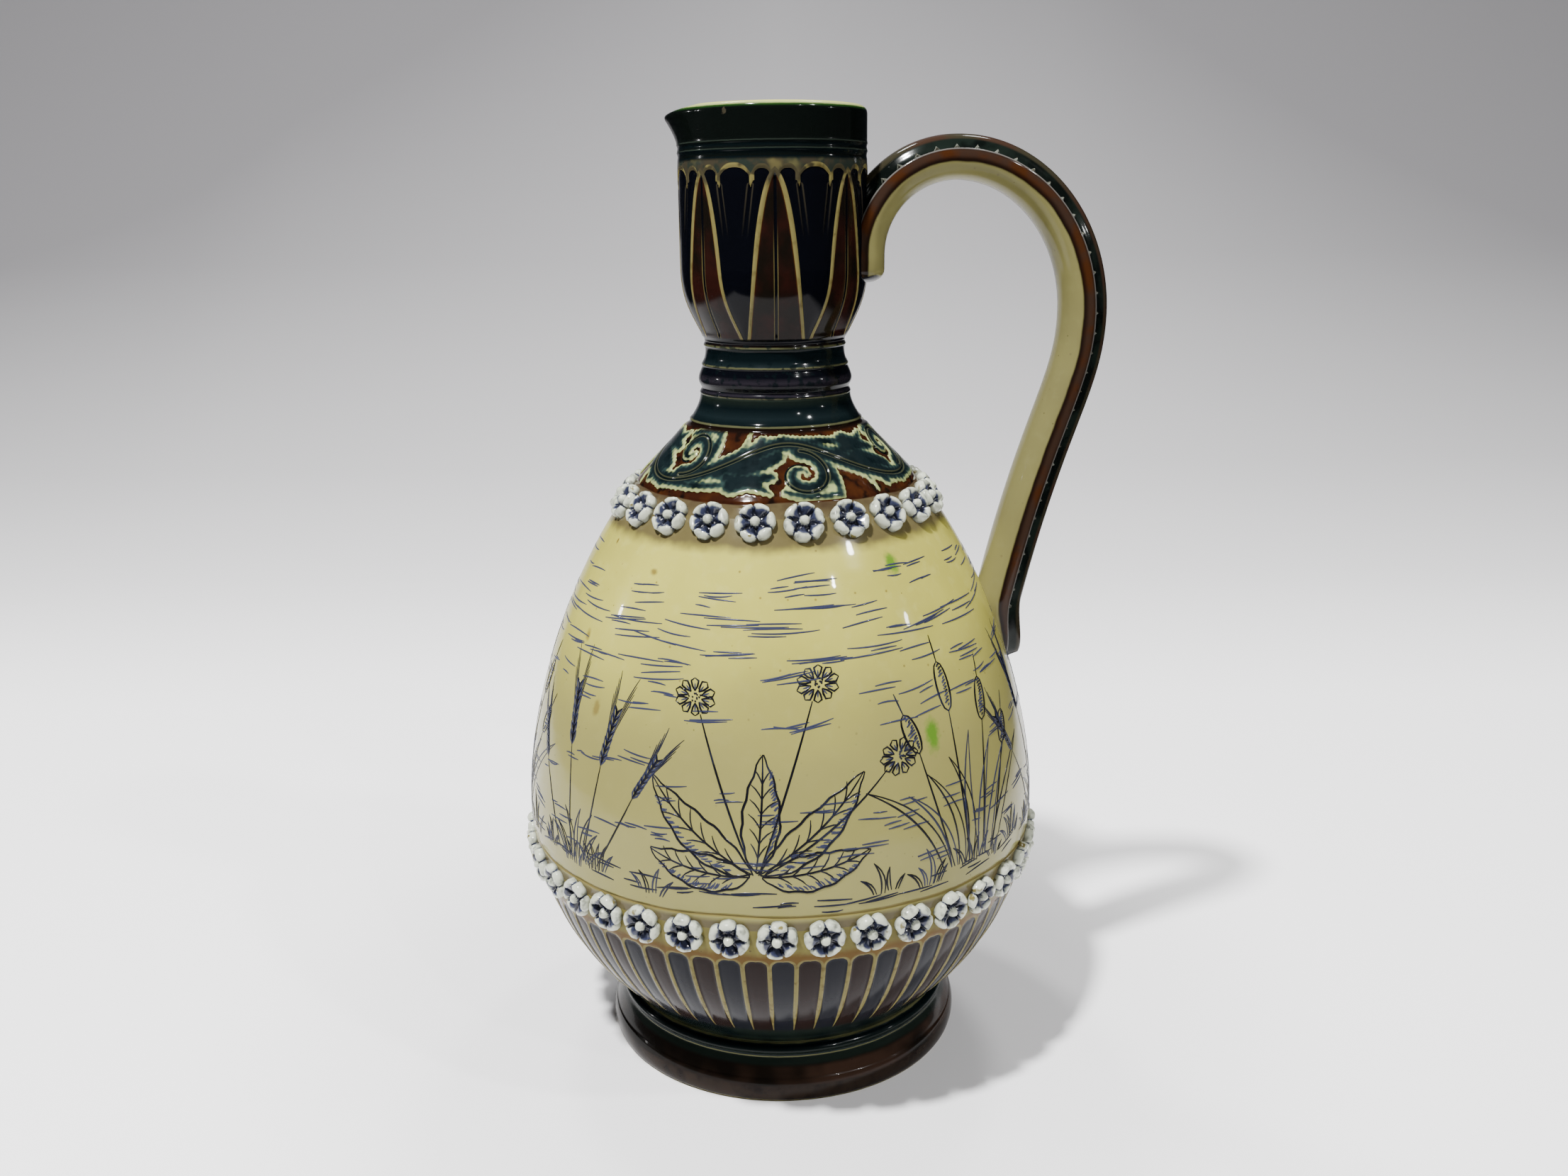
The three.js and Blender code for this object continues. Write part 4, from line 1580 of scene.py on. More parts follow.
    def build(self) -> Piece:
        """Makes the collar and puts it in place of the plain one."""
        round_radius = FORM.collar_wall / 2
        wall_top = FORM.rim_height - round_radius
        top = (FORM.collar_radius, wall_top)
        wall = Outline(np.vstack([FORM.flare_points(), [top]]), self.lines)
        heights = wall.rows(FORM.collar_base, wall_top, self.row_step)
        arc = np.radians(np.linspace(15, 165, 11))
        middle = FORM.collar_radius - round_radius
        rim = np.stack([middle + np.cos(arc) * round_radius, wall_top + np.sin(arc) * round_radius], axis=1)
        bore = FORM.collar_radius - FORM.collar_wall
        straight = [(bore, h) for h in np.linspace(wall_top, 203.0, 12)]
        flare = wall.inset(np.array([199.0, 195.0, 191.5, 188.5]), FORM.collar_wall)
        flare[:, 0] = np.maximum(flare[:, 0], FORM.throat_radius + 0.05)
        throat = [(FORM.throat_radius, FORM.collar_base)]
        section = np.vstack([wall.section(heights), rim, straight, flare, throat])
        outside = len(heights) + len(rim)
        turn = turns_of(self.columns)
        height = section[:outside, 1][:, None]
        radius = section[:outside, 0][:, None]
        fields = self.fields(turn + 0 * height, height + 0 * turn, radius)
        lift = self.relief(fields, height)
        shell = Shell(section, self.columns, outside, lift, fields)
        piece = shell.build("collar_carved", self.pull_lip(shell.grid()))
        glaze = CollarGlaze("collar_glaze", roughness=0.14, shine=0.05, coat=0.12)
        dress(piece, glaze, lined=True)
        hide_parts("collar")
        return piece


@dataclass
class Handle:
    """The strap handle: a swept section with edge ridges, two channels and a middle rib."""

    thickness: float = 12.0
    crown_thickness: float = 10.9
    half_width: float = 8.0
    root_half_width: float = 9.3
    root_radius: float = 21.2
    root_base: float = 198.8
    root_dome: float = 3.2
    root_first: float = 8.0
    root_power: float = 0.7
    root_bend: float = 23.2
    crown_height: float = 228.3
    loop_reach: float = 76.6
    loop_drop: float = 37.3
    seat_height: float = 119.5
    seat_stand: float = 4.0
    seat_lean: float = 12.75
    limb_pull_down: float = 18.0
    limb_pull_up: float = 47.6
    tongue_length: float = 16.5
    tongue_start: float = 5.0
    tip_swell: Pair = (1.6, 3.2)
    tip_stand: float = 3.5
    tip_least: float = 0.04
    tip_power: float = 0.6
    sink: float = 1.5
    cream_edge: float = -1.5
    cream_rise: float = 3.4
    cream_power: float = 1.5
    cream_rings: int = 42
    ridge_across: float = 0.915
    ridge_spread: float = 0.035
    ridge_floor: float = 0.08
    root_rings: int = 8
    bend_rings: int = 60
    limb_rings: int = 90
    tongue_rings: int = 36
    half_section: tuple[Pair, ...] = (
        (0.0, -0.5), (0.3, -0.49), (0.55, -0.45), (0.76, -0.38), (0.9, -0.28), (0.975, -0.17), (1.0, -0.06),
        (0.99, 0.03), (0.97, 0.09), (0.94, 0.135), (0.905, 0.15), (0.87, 0.125), (0.83, 0.095), (0.76, 0.1),
        (0.68, 0.15), (0.58, 0.24), (0.49, 0.34), (0.4, 0.41), (0.28, 0.455), (0.14, 0.475), (0.0, 0.48),
    )

    def ring(self) -> tuple[Array, Array, Array]:
        """The strap's section.

        Returns:
            Shares across and out at each corner, all round, and how much each lies on an edge ridge.
        """
        half = through(list(self.half_section), 3)
        across = np.concatenate([half[:, 0], -half[-2:0:-1, 0]])
        out = np.concatenate([half[:, 1], half[-2:0:-1, 1]])
        off = (np.abs(across) - self.ridge_across) / self.ridge_spread
        ridge = np.exp(-(off**2)) * (out > self.ridge_floor)
        return across, out, ridge

    def path(self) -> tuple[Array, Array, Array, Array]:
        """The strap's way in the handle's upright plane.

        Returns:
            Middles, outward directions, thicknesses and half widths, one row for each ring.
        """
        crown = self.root_radius + self.root_bend
        round_end = np.radians(np.linspace(self.root_first, 90, self.root_rings))
        swell = np.sin(round_end) ** self.root_power
        base = self.root_base + self.root_dome * (1 - np.cos(round_end))
        root = np.stack([np.full(self.root_rings, self.root_radius), base], axis=1)
        root_out = np.tile([-1.0, 0.0], (self.root_rings, 1))
        share = np.linspace(0, 1, self.bend_rings)
        turn = np.radians(180 - 90 * share)
        bend_out = np.stack([np.cos(turn), np.sin(turn)], axis=1)
        bend = np.array([crown, self.crown_height - self.root_bend]) + self.root_bend * bend_out
        fall = np.radians(90 - 90 * share[1:])
        height, reach = self.crown_height - self.loop_drop, self.loop_reach - crown
        loop = np.stack([crown + reach * np.cos(fall), height + self.loop_drop * np.sin(fall)], axis=1)
        loop_out = np.stack([np.cos(fall) * self.loop_drop, np.sin(fall) * reach], axis=1)
        seat = (float(BODY_WALL.radius_at(self.seat_height)) + self.seat_stand, self.seat_height)
        pulls = (-90 - self.seat_lean, self.limb_pull_up, self.limb_rings)
        limb = turned_curve((self.loop_reach, height), -90, self.limb_pull_down, seat, *pulls)
        limb_out = -normals_of(limb)
        thick, wide = [self.thickness, self.crown_thickness], [self.root_half_width, self.half_width]
        stretches = [
            (root, root_out, self.thickness * swell, self.root_half_width * swell),
            (bend, bend_out, np.interp(share, [0, 1], thick), np.interp(share, [0, 1], wide)),
            (loop, loop_out, np.interp(share[1:], [0, 1], thick[::-1]), self.half_width),
            (limb[1:], limb_out[1:], self.thickness, self.half_width),
            self.tongue(np.array(seat), limb_out[-1]),
        ]
        rows = [(m, o, np.broadcast_to(t, len(m)), np.broadcast_to(w, len(m))) for m, o, t, w in stretches]
        middle, outward, thickness, width = (np.concatenate(part) for part in zip(*rows))
        return middle, unit(outward), thickness, width

    def tongue(self, seat: Array, out: Array) -> tuple[Array, Array, float, Array]:
        """The tongue that lies on the belly.

        Args:
            seat: The strap's middle where the tongue starts.
            out: The outward direction there.

        Returns:
            Middles, outward directions, the thickness and half widths.
        """
        tip_height = self.seat_height - self.tongue_length
        wall = float(BODY_WALL.radius_at(tip_height))
        lean = BODY_WALL.out_at(tip_height)
        start = seat + out * self.thickness / 2
        tip = np.array([wall + self.tip_stand, tip_height])
        onward = start + self.tongue_start * np.array([out[1], -out[0]])
        edge = bezier([start, onward, tip + np.array(self.tip_swell), tip], self.tongue_rings)[1:]
        share = np.linspace(0, 1, self.tongue_rings + 1)[1:, None]
        outward = unit(out * (1 - share) + lean * share)
        drawn = np.maximum(np.cos(np.radians(90 * share[:, 0])), self.tip_least)
        width = self.half_width * drawn**self.tip_power
        return edge - outward * self.thickness / 2, outward, self.thickness, width

    def clear_wall(self, corners: Array) -> Array:
        """Holds the strap's buried side in the wall, so that nothing comes out inside the jug.

        Args:
            corners: The strap's corners.

        Returns:
            The corners, with those moved out that lay too deep.
        """
        neck = [(FORM.neck_top_radius, FORM.neck_base + 1)]
        top = [(FORM.collar_radius, FORM.rim_height)]
        outside = np.vstack([FORM.body_points(), neck, FORM.flare_points(), top])
        radius = np.hypot(corners[:, 0], corners[:, 1])
        least = np.interp(corners[:, 2], outside[:, 1], outside[:, 0]) - self.sink
        scale = np.maximum(least / np.maximum(radius, 1e-6), 1.0)
        return corners * np.stack([scale, scale, np.ones_like(scale)], axis=1)

    def build(self) -> Piece:
        """Makes the strap and puts it in place of the plain handle."""
        across, out, ridge = self.ring()
        middle, outward, thickness, width = self.path()
        plane = middle[:, None, :] + outward[:, None, :] * (out[None, :] * thickness[:, None])[..., None]
        side = across[None, :] * width[:, None]
        corners = np.stack([plane[..., 0], side, plane[..., 1]], axis=-1).reshape(-1, 3)
        rings, around = len(middle), len(across)
        caps = [list(range(around))[::-1], [(rings - 1) * around + i for i in range(around)]]
        reach = np.tile(out, rings) * np.repeat(thickness, around)
        end = np.clip(np.arange(rings) - (rings - self.cream_rings), 0, None) / self.cream_rings
        fields = {
            "out": reach,
            "edge": reach - np.repeat(self.cream_edge + self.cream_rise * end**self.cream_power, around),
            "across": np.abs(np.tile(across, rings)),
            "ridge": np.tile(ridge, rings),
        }
        faces = grid_faces(rings, around).tolist() + caps
        piece = make_mesh("handle_strap", self.clear_wall(corners), faces, fields)
        dress(piece, HandleGlaze("handle_glaze", roughness=0.11, shine=0.06, coat=0.14))
        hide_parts("handle")
        return piece


class GeometryTree(Graph):
    """A Geometry Nodes tree that is built in short calls and run once on a mesh."""

    KINDS = {float: "Float", int: "Int", Piece: "Object", bpy.types.Material: "Material"}

    def __init__(self, name: str, inputs: dict[str, object]) -> None:
        """Starts the tree.

        Args:
            name: The tree's name.
            inputs: The value of each named input.
        """
        super().__init__(bpy.data.node_groups.new(name, "GeometryNodeTree"))
        new_socket = self.tree.interface.new_socket
        new_socket("Geometry", in_out="INPUT", socket_type="NodeSocketGeometry")
        self.values = {}
        for label, value in inputs.items():
            socket = new_socket(label, in_out="INPUT", socket_type="NodeSocket" + self.KINDS[type(value)])
            self.values[socket.identifier] = value
        new_socket("Geometry", in_out="OUTPUT", socket_type="NodeSocketGeometry")
        self.given = self.add("NodeGroupInput").outputs
        self.leave = self.add("NodeGroupOutput")

    def attribute(self, label: str, kind: str) -> Socket:
        """What the mesh keeps at its corners under this name."""
        return self.link("GeometryNodeInputNamedAttribute", {"Name": label}, data_type=kind)

    def aim(self, label: str, axis: str, pivot: str = "AUTO", **turned: Socket) -> Socket:
        """Turns an axis to the direction that the mesh keeps under a name."""
        inputs = {"Vector": self.attribute(label, "FLOAT_VECTOR"), **turned}
        return self.link("FunctionNodeAlignRotationToVector", inputs, axis=axis, pivot_axis=pivot)

    def copies(self, shape: Socket, rotation: Socket, scale: Socket) -> Socket:
        """Sets a copy of a shape on each point of the mesh."""
        inputs = {"Points": self.given["Geometry"], "Instance": shape, "Rotation": rotation, "Scale": scale}
        return self.link("GeometryNodeInstanceOnPoints", inputs)

    def run(self, geometry: Socket, name: str, base: Mesh) -> Piece:
        """Ends the tree, runs it on a mesh and keeps the result as a plain piece.

        Args:
            geometry: What the tree gives out, before it is made real and gets its material.
            name: The piece's name.
            base: The mesh that the tree starts from.

        Returns:
            The piece, with no modifier on it.
        """
        real = self.link("GeometryNodeRealizeInstances", {0: geometry})
        ends = {"Geometry": real, "Material": self.given["Material"]}
        self.fill(self.leave, {0: self.link("GeometryNodeSetMaterial", ends)})
        piece = add_to_scene(name, base)
        modifier = piece.modifiers.new(name, "NODES")
        modifier.node_group = self.tree
        for key, value in self.values.items():
            modifier[key] = value
        mesh = bpy.data.meshes.new_from_object(piece.evaluated_get(bpy.context.evaluated_depsgraph_get()))
        piece.modifiers.remove(modifier)
        piece.data = mesh
        mesh.name = name
        return piece


@dataclass
class Rosette:
    """One applied rosette on its own plane: six plump petals with deep grooves between them and a boss."""

    petals: int = 6
    radius: float = 4.85
    notch: float = 0.95
    boss: float = 1.25
    boss_top: float = 2.5
    hollow: float = 0.95
    crest: float = 2.15
    groove_half: float = 0.4
    groove_depth: float = 0.85
    side_drop: float = 0.35
    least_top: float = 0.4
    boss_foot: float = 0.9
    petal_profile: tuple[Pair, ...] = (
        (0.0, 0.3), (0.3, 0.3), (0.45, 0.42), (0.58, 0.75), (0.72, 1.15), (0.84, 1.15), (0.93, 0.8),
        (0.97, 0.45), (1.0, 0.1),
    )
    rings: int = 15
    around: int = 72

    def mesh(self) -> Mesh:
        """The rosette's mesh in metres, with the depth of its pooled glaze at each corner."""
        sector = 2 * math.pi / self.petals
        angle = np.linspace(0, 2 * math.pi, self.around, endpoint=False)[None, :]
        local = np.abs((angle + sector / 2) % sector - sector / 2) / (sector / 2)
        edge = self.radius - self.notch * local**3.5
        steps = np.interp(np.arange(1, self.rings + 1), [1, 5, self.rings], [0.08, 0.27, 1.0])[:, None]
        reach = edge * steps
        beside = (1 - local) * sector / 2 * reach
        share = reach / self.radius
        pad = np.interp(share, *zip(*self.petal_profile))
        top = self.hollow + (self.crest - self.hollow) * (pad - 0.25)
        top = top - self.side_drop * local**2 * smooth(share, 0.3, 0.7)
        wide = self.groove_half * (1.9 - 1.2 * smooth(share, 0.4, 0.95))
        groove = self.groove_depth * smooth(beside, wide * 1.3, 0.05) * smooth(share, 0.99, 0.7)
        top = np.maximum(top - groove, self.least_top)
        swell = np.sqrt(np.clip(1 - (reach / self.boss) ** 2, 0.0, 1.0))
        boss = self.boss_foot + (self.boss_top - self.boss_foot) * swell
        top = np.where(reach < self.boss, np.maximum(top, boss), top)
        middle_pool = smooth(share + 0.05 * np.cos(5 * angle) + 0.05 * np.cos(2 * angle + 1), 0.82, 0.48)
        groove = smooth(beside, wide * 1.15, wide * 0.4) * smooth(share, 1.02, 0.85)
        pool = np.maximum(middle_pool * 0.8, groove)
        pool = np.where(reach < self.boss * 0.97, 0.0, pool)
        skirt = np.stack([edge * np.cos(angle), edge * np.sin(angle), 0 * angle - 0.4], axis=-1)
        surface = np.stack([reach * np.cos(angle), reach * np.sin(angle), top], axis=-1)
        corners = np.concatenate([surface, skirt], axis=0).reshape(-1, 3)
        quads = grid_faces(self.rings + 1, self.around)[:, [0, 3, 2, 1]]
        fans = [[len(corners), i, (i + 1) % self.around] for i in range(self.around)]
        under = [[self.rings * self.around + i for i in range(self.around)][::-1]]
        mesh = bpy.data.meshes.new("rosette")
        peak = [0.0, 0.0, self.boss_top]
        mesh.from_pydata(np.vstack([corners, [peak]]) * MM, [], quads.tolist() + fans + under)
        keep_field(mesh, "pool", np.concatenate([pool.ravel(), np.full(self.around, 0.3), [0.0]]))
        mesh.shade_smooth()
        return mesh


@dataclass
class RosetteRow:
    """A row of rosettes round the wall, made by one geometry tree from one rosette."""

    name: str
    count: int
    height: float
    first_turn: float
    seed: int
    nodes: tuple[str, ...]
    lift: float = 0.15
    spin: float = 0.45
    unevenness: float = 0.5
    least_size: float = 0.95
    greatest_size: float = 1.02
    lumps_per_metre: float = 520.0

    def places(self) -> Mesh:
        """One corner for each rosette, with the direction that it faces."""
        turns = self.first_turn + np.arange(self.count) * FULL_TURN / self.count
        points = BODY_WALL.place(turns, self.height, self.lift)
        ahead = BODY_WALL.place(turns, self.height, self.lift + 1.0) - points
        mesh = bpy.data.meshes.new(self.name)
        mesh.from_pydata(to_frame(points), [], [])
        keep_field(mesh, "facing", ahead)
        return mesh

    def build(self, pattern: Piece, material: bpy.types.Material) -> Piece:
        """Makes the row.

        Args:
            pattern: An object with the single rosette.
            material: The row's glaze.

        Returns:
            The row as one piece.
        """
        inputs = {"Rosette": pattern, "Material": material, "Spin": self.spin, "Seed": self.seed}
        tree = GeometryTree(self.name, inputs | {"Unevenness": self.unevenness * MM})
        seed, spin = tree.given["Seed"], tree.given["Spin"]
        shape = tree.link("GeometryNodeObjectInfo", {"Object": tree.given["Rosette"]}, "Geometry")
        angle = tree.link("FunctionNodeRandomValue", {2: tree.times(spin, -1.0), 3: spin, "Seed": seed}, 1)
        twist = tree.link("FunctionNodeAxisAngleToRotation", {"Axis": (0.0, 0.0, 1.0), "Angle": angle})
        ways = {"Rotation": tree.aim("facing", "Z"), "Rotate By": twist}
        turned = tree.link("FunctionNodeRotateRotation", ways, rotation_space="LOCAL")
        sizes = {2: self.least_size, 3: self.greatest_size, "Seed": seed}
        size = tree.link("FunctionNodeRandomValue", sizes, 1)
        real = tree.link("GeometryNodeRealizeInstances", {0: tree.copies(shape, turned, size)})
        lumps = tree.link("ShaderNodeTexNoise", {"Scale": self.lumps_per_metre, "Detail": 1.0}, "Color")
        push = {0: tree.vector("SUBTRACT", lumps, (0.5, 0.5, 0.5)), "Scale": tree.given["Unevenness"]}
        push = tree.link("ShaderNodeVectorMath", push, operation="SCALE")
        uneven = tree.link("GeometryNodeSetPosition", {"Geometry": real, "Offset": push})
        piece = dress(tree.run(uneven, self.name, self.places()))
        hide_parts(*self.nodes)
        return piece


@dataclass
class Pen:
    """Gathers the strokes of the incised drawing.

    It draws flat, in millimetres across and up from its anchor on the wall, a turn and a height. A lean is an
    angle to the right of upright, in radians. Ink goes from 0, indigo, to 1, black.
    """

    seed: int = 11
    low: float = 62.5
    high: float = 140.0
    step: float = 1.4
    most_steps: int = 28
    weight: float = 1.5
    sink: float = 0.6
    anchor: Pair = (0.0, 0.0)
    strokes: list[dict[str, Array]] = field(default_factory=list)

    def __post_init__(self) -> None:
        """Starts the drawing's own chance numbers."""
        self.chance = np.random.default_rng(self.seed)

    def stroke(self, line: Array, half: float, ink: float = 0.5) -> None:
        """Draws one stroke.

        Args:
            line: Rows of millimetres across and up.
            half: Half the line's width at its middle.
            ink: How dark it is.
        """
        length = run_of(line)
        steps = int(np.clip(round(length[-1] / self.step), 2, self.most_steps))
        along = np.linspace(0, length[-1], steps + 1)
        across, up = (np.interp(along, length, part) for part in line.T)
        height = np.clip(BODY_WALL.height_at(BODY_WALL.run_at(self.anchor[1]) + up), self.low, self.high)
        turn = self.anchor[0] + np.degrees(across / BODY_WALL.radius_at(height))
        share = along / length[-1]
        taper = 0.34 + 0.66 * np.sin(np.pi * np.clip(share * 0.88 + 0.08, 0, 1)) ** 0.7
        radius = half * self.weight * taper
        points = BODY_WALL.place(turn, height, -self.sink * radius)
        self.strokes.append({"points": points, "radius": radius * MM, "ink": np.full(len(along), ink)})

    def arc(self, start: Pair, end: Pair, bow: float, half: float, ink: float = 0.5) -> None:
        """Draws a bowed stroke between two points.

        Args:
            start: Millimetres across and up where it starts.
            end: Where it ends.
            bow: How far its middle leaves the straight way, to the left.
            half: Half the line's width.
            ink: How dark it is.
        """
        start, end = np.asarray(start, float), np.asarray(end, float)
        across = turned_left(end - start)
        self.stroke(bezier([start, (start + end) / 2 + 2 * bow * across, end], 10), half, ink)

    def blade(self, foot: Pair, lean: float, length: float, half: float = 0.25) -> None:
        """Draws a blade of grass as two lines that meet at its tip.

        Args:
            foot: Where it grows.
            lean: How far it leans.
            length: How long it is.
            half: Half the line's width.
        """
        ink = self.chance.uniform(0.2, 1.0)
        tip = np.array(foot) + length * leaning(lean)
        bow = 0.1 * length * math.copysign(1, lean)
        width = 0.07 * length + 0.35
        self.arc(foot, tip, bow, half, ink)
        self.arc((foot[0] + width, foot[1]), tip, bow - 0.5 * width, half * 0.8, ink)

    def tuft(self, blades: int, length: float, spread: float) -> None:
        """Draws a tuft of grass that fans out from one foot.

        Args:
            blades: How many blades it has.
            length: The longest blade's length.
            spread: How far the outer blades lean, in radians.
        """
        for share in np.linspace(-1, 1, blades):
            lean = share * spread + self.chance.normal(0, 0.1)
            size = length * (1 - 0.4 * abs(share)) * self.chance.uniform(0.7, 1.1)
            self.blade((share * 0.3 * length, self.chance.uniform(-0.5, 0.5)), lean, size)

    def broad_leaf(self, lean: float, length: float, width: float, bow: float) -> None:
        """Draws a broad leaf: two edges, a midrib, slanting veins and shading on one side.

        Args:
            lean: How far it leans.
            length: How long it is.
            width: Half its width.
            bow: How far it bends to the right.
        """
        up = leaning(lean)
        side, foot = -turned_left(up), 1.5 * up
        tip = foot + length * up + bow * side * 1.4
        rib = bezier([foot, (foot + tip) / 2 + bow * side, tip], 24)
        share = np.linspace(0, 1, 25)
        swell = width * np.sin(np.pi * share**0.8) ** 0.85
        across = normals_of(rib)
        self.stroke(rib, 0.26, 0.8)
        for sign in (-1, 1):
            wave = 0.06 * width * np.sin(share * 31 + 2 * sign)
            self.stroke(rib + sign * across * (swell + wave)[:, None], 0.3, 0.9)
            for i in range(3, 21, 3):
                reach = swell[i] * self.chance.uniform(0.6, 0.85)
                self.arc(rib[i], rib[i + 3] + sign * across[i] * reach, 0.12 * reach * sign, 0.19, 0.6)
        for i in np.repeat(np.arange(3, 20), 2):
            shares = (self.chance.uniform(0.45, 0.75), 0.93)
            near, far = (np.sign(bow) * across[i] * swell[i] * share for share in shares)
            step = self.chance.uniform(0, 1) * (rib[i + 1] - rib[i])
            self.arc(rib[i] + step + near, rib[i + 1] + step + far, 0.1, 0.2, 0.1)

    def fern(self, lean: float, length: float, bow: float) -> None:
        """Draws a fern frond: a bent rib with paired leaflets that shorten to the tip.

        Args:
            lean: How far it leans.
            length: How long it is.
            bow: How far it bends to the right.
        """
        side = -turned_left(leaning(lean))
        tip = length * leaning(lean) + 1.5 * bow * side
        rib = bezier([np.zeros(2), tip / 2 + bow * side * 0.2, tip], 16)
        self.stroke(rib, 0.26, 0.8)
        ahead = unit(np.gradient(rib, axis=0))
        for i in range(3, 16):
            reach = 0.2 * length * math.sin(math.pi * min(i / 16 * 0.85 + 0.12, 1.0)) ** 0.8
            for sign in (-1, 1):
                end = rib[i] + reach * (0.75 * sign * turned_left(ahead[i]) + 0.6 * ahead[i])
                self.arc(rib[i], end, -0.14 * reach * sign, 0.3, self.chance.uniform(0, 0.8))

    def reed_mace(self, foot: Pair, lean: float, length: float) -> None:
        """Draws a reed mace: its stem, its long head filled with short strokes, and the spike above.

        Args:
            foot: Where it grows.
            lean: How far it leans.
            length: How tall it is.
        """
        up, side = leaning(lean), -turned_left(leaning(lean))
        foot = np.array(foot, float)
        neck, top = foot + 0.68 * length * up, foot + 0.9 * length * up
        self.arc(foot, neck, 0.6, 0.27, 0.8)
        self.arc(top, top + 0.12 * length * up, 0.0, 0.22, 0.8)
        head = 1.35
        for sign in (-1, 1):
            bulge = [neck, neck + sign * side * head * 1.9, top + sign * side * head * 1.9, top]
            self.stroke(bezier(bulge, 16), 0.3, 0.9)
        for share in np.linspace(0.1, 0.9, 13):
            middle = neck + share * (top - neck)
            reach = head * math.sin(math.pi * share) ** 0.4
            start = middle - side * reach * self.chance.uniform(-0.4, 0.8)
            self.arc(start, middle + side * reach + 0.6 * up, 0.1, 0.27, self.chance.uniform(0, 0.6))

    def barley(self, foot: Pair, lean: float, length: float) -> None:
        """Draws an ear of barley on its stalk: paired grains, and long awns at its top.

        Args:
            foot: Where it grows.
            lean: How far it leans.
            length: How tall it is.
        """
        foot = np.array(foot, float)
        bent = foot + 0.62 * length * leaning(lean) + np.array([0.24 * length * math.sin(lean), 0.0])
        self.arc(foot, bent, -0.5, 0.25, 0.7)
        ear = unit((bent - foot)[None])[0]
        side = -turned_left(ear)
        for i in range(7):
            at = bent + ear * i * 0.048 * length
            for sign in (-1, 1):
                end = at + 0.08 * length * ear + sign * side * 0.03 * length
                self.arc(at, end, 0.5 * sign, 0.34, 0.7)
                self.arc(at, end, -0.3 * sign, 0.26, 0.2)
                if i > 2:
                    awn = end + 0.2 * length * (ear + sign * side * 0.22)
                    self.arc(end, awn, 0.1 * sign, 0.16, 0.5)

    def flower(self, middle: Pair, radius: float, petals: int) -> None:
        """Draws an open flower: looped petals round a dotted eye.

        Args:
            middle: Where its eye is.
            radius: How far its petals reach.
            petals: How many petals it has.
        """
        middle = np.array(middle, float)
        for angle in np.linspace(0, 2 * math.pi, petals, endpoint=False) + self.chance.uniform(0, 0.4):
            ahead = np.array([math.cos(angle), math.sin(angle) * 0.85])
            side = turned_left(ahead) * 0.24 * radius
            start, tip = middle + 0.32 * radius * ahead, middle + radius * ahead
            for sign in (-1, 1):
                loop = [start, start + sign * side + 0.45 * radius * ahead, tip + sign * side, tip]
                self.stroke(bezier(loop, 10), 0.25, 0.8)
            self.arc(start + 0.1 * radius * ahead, start + 0.4 * radius * ahead, 0.0, 0.2, 0.1)
        for _ in range(12):
            spot = middle + self.chance.normal(0, 0.13 * radius, 2)
            self.arc(spot, spot + (0.5, 0.25), 0.05, 0.3, 0.6)

    def dashes(self, turn: float, height: float, count: int, length: float, half: float, ink: float) -> None:
        """Draws a loose group of nearly level strokes.

        Args:
            turn: The group's middle.
            height: Its height.
            count: How many strokes it has.
            length: How long they are.
            half: Half the lines' width.
            ink: How dark it is.
        """
        tilt = self.chance.normal(0.02, 0.04)
        for _ in range(count):
            self.anchor = (turn + self.chance.normal(0, 0.25) * length, height + self.chance.normal(0, 1.3))
            size = length * self.chance.uniform(0.4, 1.2)
            slope = size * (tilt + self.chance.normal(0, 0.015))
            self.arc((-size / 2, -slope), (size / 2, slope), self.chance.normal(0, 0.15), half, ink)

    def mesh(self) -> Mesh:
        """All strokes as loose edges, with each corner's radius and ink."""
        counts = np.array([len(one["ink"]) for one in self.strokes])
        first = np.delete(np.arange(counts.sum()), np.cumsum(counts) - 1)
        mesh = bpy.data.meshes.new("strokes")
        points = np.vstack([one["points"] for one in self.strokes])
        mesh.from_pydata(to_frame(points), np.stack([first, first + 1], axis=1).tolist(), [])
        for label in ("radius", "ink"):
            keep_field(mesh, label, np.concatenate([one[label] for one in self.strokes]))
        return mesh


